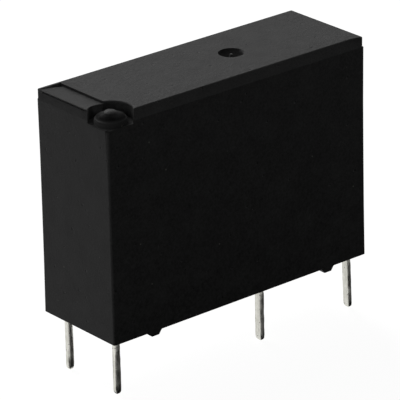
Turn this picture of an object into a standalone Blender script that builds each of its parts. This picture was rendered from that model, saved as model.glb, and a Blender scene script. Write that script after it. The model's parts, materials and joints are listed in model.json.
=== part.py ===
"""Slim sealed power relay for a printed circuit board, with one normally open contact.

The relay stands on its four pins: X is its length (coil pins at -X), Y its width
(three pins along -Y) and Z is up. The origin is under the middle of the case, level
with the tips of the pins.
"""

import math

import bmesh
import bpy
from mathutils import Matrix, Vector

MM = 0.001

# Clearances
FIT = 0.05 * MM
PIN_FIT = 0.04 * MM
WINDOW_FIT = 0.12 * MM
CUT_OVERSHOOT = 1.0 * MM

# Case
CASE_LENGTH = 20.4 * MM
CASE_WIDTH = 6.9 * MM
CASE_HEIGHT = 14.68 * MM
CASE_WALL = 0.45 * MM
CASE_LEDGE = 0.12 * MM
CASE_ROOF = 0.9 * MM
CASE_BOW = 0.04 * MM
CASE_CORNER_RADIUS = 0.14 * MM
CASE_TOP_RADIUS = 0.1 * MM
BAND_HEIGHT = 0.68 * MM
BAND_INSET = 0.06 * MM
BAND_SLOPE = 0.04 * MM
BAND_LEAN = 0.17 * MM
CAVITY_RADIUS = 0.2 * MM

# Feet under the long walls
FOOT_HEIGHT = 0.3 * MM
FOOT_SPACING = 14.0 * MM
FOOT_ROOT = 1.0 * MM
FOOT_FLAT = 0.55 * MM

# Strip, vent recess and gate mark on top of the case
STRIP_LENGTH = 1.6 * MM
STRIP_INNER_DEPTH = 0.15 * MM
STRIP_OUTER_DEPTH = 0.02 * MM
STRIP_RIM = 0.3 * MM
STRIP_POCKET_START = 0.5 * MM
STRIP_POCKET_WIDTH = 0.32 * MM
STRIP_POCKET_DEPTH = 0.3 * MM
STRIP_GROOVE_START = 0.65 * MM
STRIP_GROOVE_BELOW_TOP = 0.1 * MM
STRIP_GROOVE_HEIGHT = 0.12 * MM
STRIP_GROOVE_DEPTH = 0.08 * MM
RECESS_RADIUS = 1.38 * MM
RECESS_DEPTH = 0.85 * MM
RECESS_FROM_END = 1.09 * MM
RECESS_FROM_FRONT = 1.08 * MM
RECESS_LIP = 0.1 * MM
RECESS_CORNER = 0.23 * MM
RECESS_CORNER_DROP = 0.12 * MM
RECESS_SKIN = 0.6 * MM
NUB_BELOW_TOP = 0.1 * MM
NUB_CAP_RADIUS = 0.33 * MM
NUB_SKIRT_RADIUS = 0.5 * MM
NUB_SKIRT_DROP = 0.18 * MM
NUB_RING_RADIUS = 0.86 * MM
NUB_RING_DROP = 0.1 * MM
NUB_RING_STEP = 0.06 * MM
NUB_RADIUS = 1.0 * MM
NUB_BRIM_DROP = 0.4 * MM
NUB_EDGE = 0.06 * MM
VENT_RADIUS = 0.22 * MM
VENT_SKIN = 0.3 * MM
GATE_X = 2.3 * MM
GATE_Y = 0.05 * MM
GATE_RADIUS = 0.82 * MM
GATE_DEPTH = 0.6 * MM
GATE_STUB_RADIUS = 0.22 * MM
GATE_STUB_HEIGHT = 0.52 * MM
GATE_STUB_TIP = 0.09 * MM
GATE_BOWL_RISE = 0.3 * MM

# Pins
PIN_LENGTH = 3.5 * MM
PIN_TAPER = 0.38 * MM
PIN_TIP_SHARE = 0.35
PIN_CHAMFER = 0.04 * MM
FRONT_ROW_FROM_FACE = 1.0 * MM
REAR_PIN_FROM_FACE = 1.24 * MM
COIL_PIN_FROM_END = 0.9 * MM
COIL_PIN_ALONG = 0.42 * MM
COIL_PIN_ACROSS = 0.36 * MM
COIL_POST_HEIGHT = 1.8 * MM
MOVING_PIN_FROM_BARRIER = 0.39 * MM
FIXED_PIN_FROM_END = 0.77 * MM
BLADE_PIN_WIDTH = 0.64 * MM
BLADE_PIN_COINING = 0.01 * MM

# Base and resin
BASE_THICKNESS = 1.0 * MM
RESIN_RECESS = 0.3 * MM
RESIN_THICKNESS = 0.55 * MM
BARRIER_FROM_YOKE = 1.7 * MM
BARRIER_THICKNESS = 0.45 * MM
BARRIER_ROOF_GAP = 0.3 * MM
BARRIER_RIB = 0.4 * MM
CREEPAGE_RIB_HEIGHT = 0.9 * MM
CREEPAGE_RIB_THICKNESS = 0.5 * MM
BARRIER_RIB_START = 1.5 * MM
POST_BAR_HEIGHT = 0.6 * MM
POST_BAR_PAST_PIN = 0.4 * MM

# Electromagnet
CORE_ALONG = 3.2 * MM
CORE_ACROSS = 1.8 * MM
POLE_ALONG = 5.0 * MM
POLE_ACROSS = 3.4 * MM
POLE_BELOW_ROOF = 2.33 * MM
POLE_THICKNESS = 0.7 * MM
POLE_CORNER = 1.0 * MM
BOBBIN_WALL = 0.35 * MM
BOBBIN_FLANGE = 0.55 * MM
FLANGE_CORNER = 0.55 * MM
FLANGE_FROM_PIN = 0.5 * MM
FLANGE_FROM_YOKE = 0.15 * MM
FLANGE_SIDE_GAP = 0.13 * MM
WINDING_INSET = 0.2 * MM
LEAD_DIAMETER = 0.12 * MM
LEAD_TURNS = 3
LEAD_RISE = 0.36 * MM
LEAD_LEAVES_AT = math.radians(150.0)
LEAD_SPREAD = 1.25
YOKE_THICKNESS = 1.0 * MM
YOKE_SIDE_GAP = 0.38 * MM
YOKE_FACE_X = -0.4 * MM
YOKE_FROM_PIN = 1.0 * MM
YOKE_BEND = 0.3 * MM
STAKE_RADIUS = 0.35 * MM
STAKE_SPACING = 2.2 * MM
STAKE_PROUD = 0.12 * MM
STAKE_ROOT = 0.3 * MM

# Armature and its spring
ARMATURE_THICKNESS = 0.85 * MM
ARMATURE_SIDE_GAP = 0.58 * MM
ARMATURE_NECK_GAP = 0.2 * MM
ARMATURE_OVERHANG = 0.1 * MM
ARMATURE_BEND = 0.05 * MM
ARMATURE_SWING = math.radians(5.0)
ARMATURE_NECK = 0.9 * MM
HINGE_SPRING_THICKNESS = 0.15 * MM
HINGE_SPRING_ARM = 0.6 * MM
HINGE_SPRING_HOOK = 1.9 * MM
HINGE_SPRING_BEND = 0.2 * MM

# Levels on the yoke, as shares of its height
HINGE_SPRING_FOOT_SHARE = 0.2
STAKE_SHARE = 0.36
HINGE_SPRING_WINDOW_SHARE = 0.52
ARMATURE_LEG_SHARE = 0.57
CARD_SHARE = 0.62

# Card
CARD_THICKNESS = 0.8 * MM
CARD_WIDTH = 2.2 * MM
CARD_HEAD_WIDTH = 3.2 * MM
CARD_HEAD_HEIGHT = 1.0 * MM
CARD_HEAD_LENGTH = 0.38 * MM
CARD_NOSE_WIDTH = 1.4 * MM
CARD_NOSE_LENGTH = 0.9 * MM

# Contact spring, contacts and terminals
TERMINAL_THICKNESS = 0.28 * MM
TERMINAL_BEND = 0.1 * MM
SPRING_THICKNESS = 0.15 * MM
SPRING_ROOT_WIDTH = 3.8 * MM
SPRING_TIP_WIDTH = 2.8 * MM
SPRING_TAPER_START = 3.0 * MM
SPRING_TIP_CORNER = 0.6 * MM
SPRING_SLOT_WIDTH = 0.8 * MM
SPRING_SLOT_START = 2.2 * MM
SPRING_SLOT_LENGTH = 2.4 * MM
SPRING_PAST_CONTACT = 1.5 * MM
TAB_HEIGHT = 1.9 * MM
TAB_WIDTH = 3.6 * MM
RUN_WIDTH = 1.7 * MM
RIVET_RADIUS = 0.3 * MM
RIVET_HEAD_RADIUS = 0.5 * MM
RIVET_HEAD = 0.25 * MM
RIVET_CROWN = 0.1 * MM
RIVET_SLACK = 0.1 * MM
RIVET_SPACING = 2.0 * MM
RIVET_RISE = 0.8 * MM
CONTACT_BELOW_ROOF = 2.68 * MM
CONTACT_RADIUS = 1.1 * MM
CONTACT_SHANK = 0.6 * MM
CONTACT_HEAD = 0.45 * MM
CONTACT_DOME = 0.12 * MM
CONTACT_TAIL = 0.22 * MM
CONTACT_TAIL_RADIUS = 0.9 * MM
CONTACT_GAP = 0.55 * MM
FIXED_PLATE_SIDE_GAP = 0.78 * MM
FIXED_PLATE_FROM_END = 2.52 * MM

# Facets
BOW_STEPS = 4
CORNER_STEPS = 5
ROUND_STEPS = 48
RIVET_STEPS = 20
LEAD_STEPS = 12
PIN_STEPS = 4
OVAL_END_SHARE = 0.49
SMOOTH_BELOW = math.radians(35.0)
WELD = 0.001 * MM

# Levels, from the pin tips up
SEAT_Z = PIN_LENGTH
RIM_Z = SEAT_Z + FOOT_HEIGHT
TOP_Z = RIM_Z + CASE_HEIGHT
ROOF_Z = TOP_Z - CASE_ROOF
RESIN_Z = RIM_Z + RESIN_RECESS
BASE_Z = RESIN_Z + RESIN_THICKNESS + FIT
FLOOR_Z = BASE_Z + BASE_THICKNESS
YOKE_Z = FLOOR_Z + FIT
BOBBIN_Z = YOKE_Z + YOKE_THICKNESS + FIT
WINDING_Z = BOBBIN_Z + BOBBIN_FLANGE
POLE_Z = ROOF_Z - POLE_BELOW_ROOF
BOBBIN_TOP_Z = POLE_Z - POLE_THICKNESS - FIT
WINDING_TOP_Z = BOBBIN_TOP_Z - BOBBIN_FLANGE
YOKE_HEIGHT = POLE_Z - YOKE_Z
HINGE_SPRING_Z = YOKE_Z + HINGE_SPRING_FOOT_SHARE * YOKE_HEIGHT
STAKE_Z = YOKE_Z + STAKE_SHARE * YOKE_HEIGHT
HINGE_WINDOW_Z = YOKE_Z + HINGE_SPRING_WINDOW_SHARE * YOKE_HEIGHT
LEG_END_Z = YOKE_Z + ARMATURE_LEG_SHARE * YOKE_HEIGHT
CARD_Z = YOKE_Z + CARD_SHARE * YOKE_HEIGHT
RUN_Z = FLOOR_Z + FIT
SPRING_Z = RUN_Z + TERMINAL_THICKNESS + 2 * FIT
CONTACT_Z = ROOF_Z - CONTACT_BELOW_ROOF
SPRING_TOP_Z = CONTACT_Z + SPRING_PAST_CONTACT

# Places along the relay
CAVITY_LENGTH = CASE_LENGTH - 2 * CASE_WALL
CHAMBER_LENGTH = CAVITY_LENGTH - 2 * CASE_LEDGE
COIL_PIN_X = -CASE_LENGTH / 2 + COIL_PIN_FROM_END
FIXED_PIN_X = CASE_LENGTH / 2 - FIXED_PIN_FROM_END
YOKE_END_X = COIL_PIN_X + YOKE_FROM_PIN
FLANGE_LEFT_X = COIL_PIN_X + FLANGE_FROM_PIN
FLANGE_RIGHT_X = YOKE_FACE_X - YOKE_THICKNESS - FLANGE_FROM_YOKE
COIL_X = (FLANGE_LEFT_X + FLANGE_RIGHT_X) / 2
LEG_X = YOKE_FACE_X + FIT
CARD_X = LEG_X + ARMATURE_THICKNESS + FIT
BARRIER_X = YOKE_FACE_X + BARRIER_FROM_YOKE
BARRIER_FACE_X = BARRIER_X + BARRIER_THICKNESS
MOVING_PIN_X = BARRIER_FACE_X + MOVING_PIN_FROM_BARRIER
FIXED_FACE_X = CASE_LENGTH / 2 - FIXED_PLATE_FROM_END - TERMINAL_THICKNESS
SPRING_FACE_X = FIXED_FACE_X - 2 * CONTACT_HEAD - CONTACT_GAP
SPRING_BACK_X = SPRING_FACE_X - SPRING_THICKNESS
TAB_X = SPRING_BACK_X - FIT

# Widths and places across the relay
CAVITY_WIDTH = CASE_WIDTH - 2 * CASE_WALL
CHAMBER_WIDTH = CAVITY_WIDTH - 2 * CASE_LEDGE
FRONT_ROW_Y = -CASE_WIDTH / 2 + FRONT_ROW_FROM_FACE
REAR_PIN_Y = CASE_WIDTH / 2 - REAR_PIN_FROM_FACE
FLANGE_WIDTH = CHAMBER_WIDTH - 2 * FLANGE_SIDE_GAP
YOKE_WIDTH = CHAMBER_WIDTH - 2 * YOKE_SIDE_GAP
ARMATURE_WIDTH = CHAMBER_WIDTH - 2 * ARMATURE_SIDE_GAP
ARMATURE_NECK_WIDTH = ARMATURE_WIDTH - 2 * (HINGE_SPRING_ARM + ARMATURE_NECK_GAP)
FIXED_PLATE_WIDTH = CHAMBER_WIDTH - 2 * FIXED_PLATE_SIDE_GAP

# Sections, length by width
CAVITY_SIZE = (CAVITY_LENGTH, CAVITY_WIDTH)
CHAMBER_SIZE = (CHAMBER_LENGTH, CHAMBER_WIDTH)
COIL_PIN_SIZE = (COIL_PIN_ALONG, COIL_PIN_ACROSS)
CORE_SECTION = (CORE_ALONG, CORE_ACROSS)
POLE_SECTION = (POLE_ALONG, POLE_ACROSS)
FLANGE_SIZE = (FLANGE_RIGHT_X - FLANGE_LEFT_X, FLANGE_WIDTH)
WINDING_SIZE = (FLANGE_SIZE[0] - 2 * WINDING_INSET, FLANGE_SIZE[1] - 2 * WINDING_INSET)

PIVOT = Vector((YOKE_FACE_X, 0.0, POLE_Z))
SPRING_FOOT = Vector((SPRING_BACK_X, 0.0, SPRING_Z))


def make_material(name, colour, roughness, metallic=0.0):
    """Principled material with one colour."""
    material = bpy.data.materials.new(name)
    material.use_nodes = True
    shader = material.node_tree.nodes["Principled BSDF"]
    shader.inputs["Base Color"].default_value = (*colour, 1.0)
    shader.inputs["Roughness"].default_value = roughness
    shader.inputs["Metallic"].default_value = metallic
    material.diffuse_color = (*colour, 1.0)
    return material


def finish(name, bm, material=None, round_piece=False):
    """Object made from the bmesh, with its faces turned out."""
    bmesh.ops.recalc_face_normals(bm, faces=bm.faces)
    mesh = bpy.data.meshes.new(name)
    bm.to_mesh(mesh)
    bm.free()
    if round_piece:
        mesh.shade_smooth()
        mesh.set_sharp_from_angle(angle=SMOOTH_BELOW)
    if material:
        mesh.materials.append(material)
    piece = bpy.data.objects.new(name, mesh)
    bpy.context.scene.collection.objects.link(piece)
    return piece


def rounded_rect(size, radius, centre=(0.0, 0.0)):
    """Outline of a rectangle with round corners, anticlockwise."""
    points = []
    for quarter, (sx, sy) in enumerate(((1, 1), (-1, 1), (-1, -1), (1, -1))):
        cx = centre[0] + sx * (size[0] / 2 - radius)
        cy = centre[1] + sy * (size[1] / 2 - radius)
        for step in range(CORNER_STEPS + 1):
            angle = math.radians(90.0 * (quarter + step / CORNER_STEPS))
            points.append((cx + radius * math.cos(angle), cy + radius * math.sin(angle)))
    return points


def oval(size, centre):
    """Outline with half-round ends."""
    return rounded_rect(size, OVAL_END_SHARE * min(size), centre)


def smaller(size, inset):
    """Length and width with the same inset on every side."""
    return (size[0] - 2 * inset, size[1] - 2 * inset)


def lofted(name, rings, material=None, round_piece=False):
    """Closed solid through level outlines given as (z, outline), lowest first."""
    bm = bmesh.new()
    loops = [[bm.verts.new((x, y, z)) for x, y in outline] for z, outline in rings]
    for low, high in zip(loops, loops[1:]):
        for index, corner in enumerate(low):
            bm.faces.new((low[index - 1], corner, high[index], high[index - 1]))
    for end in (loops[0], loops[-1]):
        bmesh.ops.contextual_create(bm, geom=end)
    return finish(name, bm, material, round_piece)


def prism(name, outline, axis, low, high, material=None):
    """Outline extruded along X, Y or Z; its points are in the other two directions."""
    place = {
        "X": lambda a, b: (low, a, b),
        "Y": lambda a, b: (a, low, b),
        "Z": lambda a, b: (a, b, low),
    }[axis]
    run = {"X": (high - low, 0, 0), "Y": (0, high - low, 0), "Z": (0, 0, high - low)}[axis]
    bm = bmesh.new()
    corners = [bm.verts.new(place(a, b)) for a, b in outline]
    face = bm.faces.new(corners)
    grown = bmesh.ops.extrude_face_region(bm, geom=[face])["geom"]
    moved = [item for item in grown if isinstance(item, bmesh.types.BMVert)]
    bmesh.ops.translate(bm, verts=moved, vec=run)
    return finish(name, bm, material)


def box(name, low, high, material=None):
    """Rectangular block between two corners."""
    middle = (Vector(low) + Vector(high)) / 2
    size = Vector(high) - Vector(low)
    bm = bmesh.new()
    bmesh.ops.create_cube(bm, size=1.0, matrix=Matrix.Translation(middle) @ Matrix.Diagonal((*size, 1.0)))
    return finish(name, bm, material)


def turned(name, profile, base, axis="Z", steps=ROUND_STEPS, material=None):
    """Solid of revolution from (radius, height) points that start and end on its axis."""
    bm = bmesh.new()
    points = [bm.verts.new((radius, 0.0, height)) for radius, height in profile]
    edges = [bm.edges.new(pair) for pair in zip(points, points[1:])]
    bmesh.ops.spin(bm, geom=points + edges, axis=(0, 0, 1), angle=2 * math.pi, steps=steps, use_merge=True)
    bmesh.ops.remove_doubles(bm, verts=bm.verts, dist=WELD)
    if axis == "X":
        bmesh.ops.rotate(bm, verts=bm.verts, matrix=Matrix.Rotation(math.radians(90.0), 3, "Y"))
    bmesh.ops.translate(bm, verts=bm.verts, vec=base)
    return finish(name, bm, material, round_piece=True)


def shape_with(target, tool, operation):
    """Cut the tool out of the target or join it on, and hide the tool."""
    modifier = target.modifiers.new(tool.name, "BOOLEAN")
    modifier.operation = operation
    modifier.object = tool
    tool.hide_render = True
    tool.display_type = "WIRE"


def cut(target, *tools):
    for tool in tools:
        shape_with(target, tool, "DIFFERENCE")


def join(target, *tools):
    for tool in tools:
        shape_with(target, tool, "UNION")


def strip_outline(path, thickness, bend):
    """Both sides of a sheet that follows the path, with its folds at an inside radius."""
    middle = [Vector(path[0])]
    for before, corner, after in zip(path, path[1:], path[2:]):
        corner = Vector(corner)
        back = (Vector(before) - corner).normalized()
        ahead = (Vector(after) - corner).normalized()
        half_turn = back.angle(ahead) / 2
        radius = bend + thickness / 2
        centre = corner + (back + ahead).normalized() * radius / math.sin(half_turn)
        start = corner + back * radius / math.tan(half_turn) - centre
        end = corner + ahead * radius / math.tan(half_turn) - centre
        sweep = start.angle_signed(end)
        for step in range(CORNER_STEPS + 1):
            turn = -sweep * step / CORNER_STEPS
            middle.append(centre + Matrix.Rotation(turn, 2) @ start)
    middle.append(Vector(path[-1]))
    left, right = [], []
    for index, point in enumerate(middle):
        before = middle[max(index - 1, 0)]
        after = middle[min(index + 1, len(middle) - 1)]
        along = (after - before).normalized()
        side = Vector((-along.y, along.x)) * thickness / 2
        left.append(tuple(point + side))
        right.append(tuple(point - side))
    return left + right[::-1]


def pin(name, x, y, size, top, material=None):
    """Straight pin with chamfered edges, from its rounded tip up to the given level."""

    def section(share):
        half_x, half_y = share * size[0] / 2, share * size[1] / 2
        cut_x, cut_y = half_x - share * PIN_CHAMFER, half_y - share * PIN_CHAMFER
        corners = []
        for sx, sy in ((1, 1), (-1, 1), (-1, -1), (1, -1)):
            pair = [(x + sx * half_x, y + sy * cut_y), (x + sx * cut_x, y + sy * half_y)]
            corners += pair if sx == sy else pair[::-1]
        return corners

    rings = []
    for step in range(PIN_STEPS + 1):
        angle = math.radians(90.0 * step / PIN_STEPS)
        share = PIN_TIP_SHARE + (1 - PIN_TIP_SHARE) * math.sin(angle)
        rings.append((PIN_TAPER * (1 - math.cos(angle)), section(share)))
    rings.append((top, section(1.0)))
    return lofted(name, rings, material)


def make_case(material):
    """Moulded housing, open underneath, with everything that its top shows."""
    body = (CASE_LENGTH, CASE_WIDTH)
    band_z = TOP_Z - BAND_HEIGHT
    radius = CASE_CORNER_RADIUS
    rings = []
    for step in range(BOW_STEPS + 1):
        share = step / BOW_STEPS
        outline = rounded_rect(smaller(body, CASE_BOW * math.sin(math.pi * share)), radius)
        rings.append((SEAT_Z + (band_z - SEAT_Z) * share, outline))
    # The band is flush at the coil end, and its front leans back.
    band = (CASE_LENGTH - BAND_INSET, CASE_WIDTH - 2 * BAND_INSET)
    rings.append((band_z + BAND_SLOPE, rounded_rect(band, radius, (-BAND_INSET / 2, 0.0))))
    top = (band[0], band[1] - BAND_LEAN)
    centre = (-BAND_INSET / 2, BAND_LEAN / 2)
    for step in range(CORNER_STEPS + 1):
        angle = math.radians(90.0 * step / CORNER_STEPS)
        inset = CASE_TOP_RADIUS * (1 - math.cos(angle))
        z = TOP_Z - CASE_TOP_RADIUS * (1 - math.sin(angle))
        rings.append((z, rounded_rect(smaller(top, inset), radius - inset, centre)))
    case = lofted("case", rings, material, round_piece=True)

    mouth = prism(
        "cut_case_mouth", rounded_rect(CAVITY_SIZE, CAVITY_RADIUS), "Z", SEAT_Z - CUT_OVERSHOOT, FLOOR_Z + FIT
    )
    chamber = prism("cut_case_chamber", rounded_rect(CHAMBER_SIZE, CAVITY_RADIUS), "Z", FLOOR_Z, ROOF_Z)
    cut(case, mouth, chamber, *foot_gaps(), *top_strip(), gate_mark())
    recess_x = -CASE_LENGTH / 2 + RECESS_FROM_END
    recess_y = -CASE_WIDTH / 2 + RECESS_FROM_FRONT
    boss_z = TOP_Z - RECESS_DEPTH - RECESS_SKIN
    boss_radius = RECESS_RADIUS + CASE_WALL
    boss = turned(
        "cut_chamber_boss",
        [(0, boss_z), (boss_radius, boss_z), (boss_radius, TOP_Z), (0, TOP_Z)],
        (recess_x, recess_y, 0),
    )
    cut(chamber, boss)
    cut(case, *vent_recess(recess_x, recess_y, boss_z))
    return case


def foot_gaps():
    """What is cut off the rim between and beside the feet."""
    low = SEAT_Z - CUT_OVERSHOOT
    root, flat = FOOT_ROOT / 2, FOOT_FLAT / 2
    centres = (-FOOT_SPACING / 2, FOOT_SPACING / 2)
    beyond = CASE_LENGTH / 2 + CUT_OVERSHOOT
    spans = ((None, centres[0]), (centres[0], centres[1]), (centres[1], None))
    gaps = []
    for index, (left, right) in enumerate(spans):
        outline = []
        if left is None:
            outline += [(-beyond, RIM_Z), (-beyond, low)]
        else:
            outline += [(left + root, RIM_Z), (left + flat, SEAT_Z), (left + flat, low)]
        if right is None:
            outline += [(beyond, low), (beyond, RIM_Z)]
        else:
            outline += [(right - flat, low), (right - flat, SEAT_Z), (right - root, RIM_Z)]
        gaps.append(prism(f"cut_foot_gap_{index}", outline, "Y", -CASE_WIDTH, CASE_WIDTH))
    return gaps


def sunk_block(name, left, right, front, rear, depths):
    """Cutter from above, its floor at four depths: left front, right front, right rear, left rear."""
    corners = ((left, front), (right, front), (right, rear), (left, rear))
    bm = bmesh.new()
    low = [bm.verts.new((x, y, TOP_Z - depth)) for (x, y), depth in zip(corners, depths)]
    high = [bm.verts.new((x, y, TOP_Z + CUT_OVERSHOOT)) for x, y in corners]
    bm.faces.new(high)
    bm.faces.new((low[0], low[1], low[2]))
    bm.faces.new((low[0], low[2], low[3]))
    for index in range(4):
        bm.faces.new((low[index - 1], low[index], high[index], high[index - 1]))
    return finish(name, bm)


def top_strip():
    """Sunk strip at the left end of the top, the pocket at its back, and the groove under its end."""
    end = -CASE_LENGTH / 2
    left = end - CUT_OVERSHOOT
    right = end + STRIP_LENGTH
    front = -CASE_WIDTH / 2 + RECESS_FROM_FRONT + NUB_RADIUS
    rim = CASE_WIDTH / 2 - STRIP_RIM
    slope = (STRIP_INNER_DEPTH - STRIP_OUTER_DEPTH) / STRIP_LENGTH
    outer = STRIP_OUTER_DEPTH - slope * CUT_OVERSHOOT
    depths = (outer, STRIP_INNER_DEPTH, STRIP_INNER_DEPTH, outer)
    floor = sunk_block("cut_strip_floor", left, right, front, rim, depths)
    start = end + STRIP_POCKET_START
    outline = [(start, rim), (right, rim - STRIP_POCKET_WIDTH), (right, rim)]
    high = TOP_Z + CUT_OVERSHOOT
    pocket = prism("cut_strip_pocket", outline, "Z", TOP_Z - STRIP_POCKET_DEPTH, high)
    groove_top = TOP_Z - STRIP_GROOVE_BELOW_TOP
    groove = box(
        "cut_strip_groove",
        (left, front, groove_top - STRIP_GROOVE_HEIGHT),
        (end + STRIP_GROOVE_DEPTH, CASE_WIDTH / 2 - STRIP_GROOVE_START, groove_top),
    )
    return floor, pocket, groove


def gate_mark():
    """Round hollow with the stub of the moulding gate in its middle."""
    floor_z = TOP_Z - GATE_DEPTH
    stub_z = floor_z + GATE_STUB_HEIGHT
    profile = [(0, stub_z), (GATE_STUB_TIP, stub_z), (GATE_STUB_RADIUS, floor_z)]
    for step in range(1, CORNER_STEPS + 1):
        share = step / CORNER_STEPS
        radius = GATE_STUB_RADIUS + (GATE_RADIUS - GATE_STUB_RADIUS) * share
        profile.append((radius, floor_z + GATE_BOWL_RISE * share**2))
    profile += [(GATE_RADIUS, TOP_Z + CUT_OVERSHOOT), (0, TOP_Z + CUT_OVERSHOOT)]
    return turned("cut_gate_mark", profile, (GATE_X, GATE_Y, 0))


def vent_recess(x, y, boss_z):
    """Round recess in the corner that leaves the vent nub standing, and the hole under the nub."""
    floor_z = TOP_Z - RECESS_DEPTH
    nub_z = TOP_Z - NUB_BELOW_TOP
    high = TOP_Z + CUT_OVERSHOOT
    skirt_z = nub_z - NUB_SKIRT_DROP
    ring_z = skirt_z - NUB_RING_DROP
    brim_z = nub_z - NUB_BRIM_DROP
    profile = [
        (0, nub_z),
        (NUB_CAP_RADIUS, nub_z),
        (NUB_SKIRT_RADIUS, skirt_z),
        (NUB_RING_RADIUS, ring_z),
        (NUB_RING_RADIUS, ring_z - NUB_RING_STEP),
    ]
    for step in range(CORNER_STEPS + 1):
        angle = math.radians(90.0 * step / CORNER_STEPS)
        radius = NUB_RADIUS - NUB_EDGE * (1 - math.sin(angle))
        profile.append((radius, brim_z - NUB_EDGE * (1 - math.cos(angle))))
    profile += [(NUB_RADIUS, floor_z), (RECESS_RADIUS, floor_z)]
    for step in range(CORNER_STEPS + 1):
        angle = math.radians(90.0 * step / CORNER_STEPS)
        radius = RECESS_RADIUS + RECESS_LIP * (1 - math.cos(angle))
        profile.append((radius, TOP_Z - RECESS_LIP * (1 - math.sin(angle))))
    profile += [(RECESS_RADIUS + RECESS_LIP, high), (0, high)]
    ring = turned("cut_vent_recess", profile, (x, y, 0))
    corner = box(
        "cut_recess_corner",
        (-CASE_LENGTH / 2 - CUT_OVERSHOOT, -CASE_WIDTH / 2 - CUT_OVERSHOOT, floor_z - RECESS_CORNER_DROP),
        (-CASE_LENGTH / 2 + RECESS_CORNER, -CASE_WIDTH / 2 + RECESS_CORNER, high),
    )
    hole_low = boss_z - CUT_OVERSHOOT
    hole_high = nub_z - VENT_SKIN
    hole = turned(
        "cut_vent_hole",
        [(0, hole_low), (VENT_RADIUS, hole_low), (VENT_RADIUS, hole_high), (0, hole_high)],
        (x, y, 0),
        steps=RIVET_STEPS,
    )
    return ring, corner, hole


def pin_places():
    """Middle and section of each pin, by terminal."""
    blade = smaller((TERMINAL_THICKNESS, BLADE_PIN_WIDTH), BLADE_PIN_COINING)
    return {
        "coil_terminal_front": (COIL_PIN_X, FRONT_ROW_Y, COIL_PIN_SIZE),
        "coil_terminal_rear": (COIL_PIN_X, REAR_PIN_Y, COIL_PIN_SIZE),
        "moving_terminal": (MOVING_PIN_X, FRONT_ROW_Y, blade),
        "fixed_terminal": (FIXED_PIN_X, FRONT_ROW_Y, blade),
    }


def pin_holes(owner, low, high):
    """A slot round each pin."""
    holes = []
    for name, (x, y, size) in pin_places().items():
        half_x = size[0] / 2 + PIN_FIT
        half_y = size[1] / 2 + PIN_FIT
        near, far = (x - half_x, y - half_y, low), (x + half_x, y + half_y, high)
        holes.append(box(f"cut_{owner}_{name}", near, far))
    return holes


def make_base(material):
    """Base plate with the wall between coil and contacts, one moulding."""
    outline = rounded_rect(smaller(CAVITY_SIZE, FIT), CAVITY_RADIUS)
    base = prism("base", outline, "Z", BASE_Z, FLOOR_Z, material)
    half_length = CHAMBER_SIZE[0] / 2 - FIT
    half_width = CHAMBER_SIZE[1] / 2 - FIT
    root = FLOOR_Z - BASE_THICKNESS / 2
    barrier_top = ROOF_Z - BARRIER_ROOF_GAP
    barrier = box("join_barrier", (BARRIER_X, -half_width, root), (BARRIER_FACE_X, half_width, barrier_top))
    ribs = []
    for side in (-1, 1):
        near, far = sorted((side * half_width, side * (half_width - BARRIER_RIB)))
        rib = box(
            f"join_barrier_rib_{side}",
            (BARRIER_FACE_X - FIT, near, FLOOR_Z + BARRIER_RIB_START),
            (BARRIER_FACE_X + BARRIER_RIB, far, barrier_top),
        )
        ribs.append(rib)
    rib_x = (SPRING_FACE_X + FIXED_FACE_X - CREEPAGE_RIB_THICKNESS) / 2
    creepage_rib = box(
        "join_creepage_rib",
        (rib_x, -half_width, root),
        (rib_x + CREEPAGE_RIB_THICKNESS, half_width, FLOOR_Z + CREEPAGE_RIB_HEIGHT),
    )
    post_bar = box(
        "join_post_bar",
        (-half_length, -half_width, root),
        (COIL_PIN_X + POST_BAR_PAST_PIN, half_width, FLOOR_Z + POST_BAR_HEIGHT),
    )
    join(base, barrier, *ribs, creepage_rib, post_bar)
    half_window_y = CARD_WIDTH / 2 + WINDOW_FIT
    half_window_z = CARD_THICKNESS / 2 + WINDOW_FIT
    window = box(
        "cut_card_window",
        (BARRIER_X - CUT_OVERSHOOT, -half_window_y, CARD_Z - half_window_z),
        (BARRIER_FACE_X + CUT_OVERSHOOT, half_window_y, CARD_Z + half_window_z),
    )
    cut(base, window, *pin_holes("base", BASE_Z - CUT_OVERSHOOT, FLOOR_Z + POST_BAR_HEIGHT + FIT))
    return base


def make_resin(material):
    """Cast layer that seals the base and the pins."""
    outline = rounded_rect(smaller(CAVITY_SIZE, FIT), CAVITY_RADIUS)
    resin = prism("sealing_resin", outline, "Z", RESIN_Z, RESIN_Z + RESIN_THICKNESS, material)
    cut(resin, *pin_holes("resin", RESIN_Z - CUT_OVERSHOOT, RESIN_Z + RESIN_THICKNESS + FIT / 2))
    return resin


def make_coil_terminal(name, material):
    """Square wire, from its tip to the post that the winding's end is wrapped on."""
    x, y, size = pin_places()[name]
    return pin(name, x, y, size, FLOOR_Z + COIL_POST_HEIGHT, material)


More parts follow.
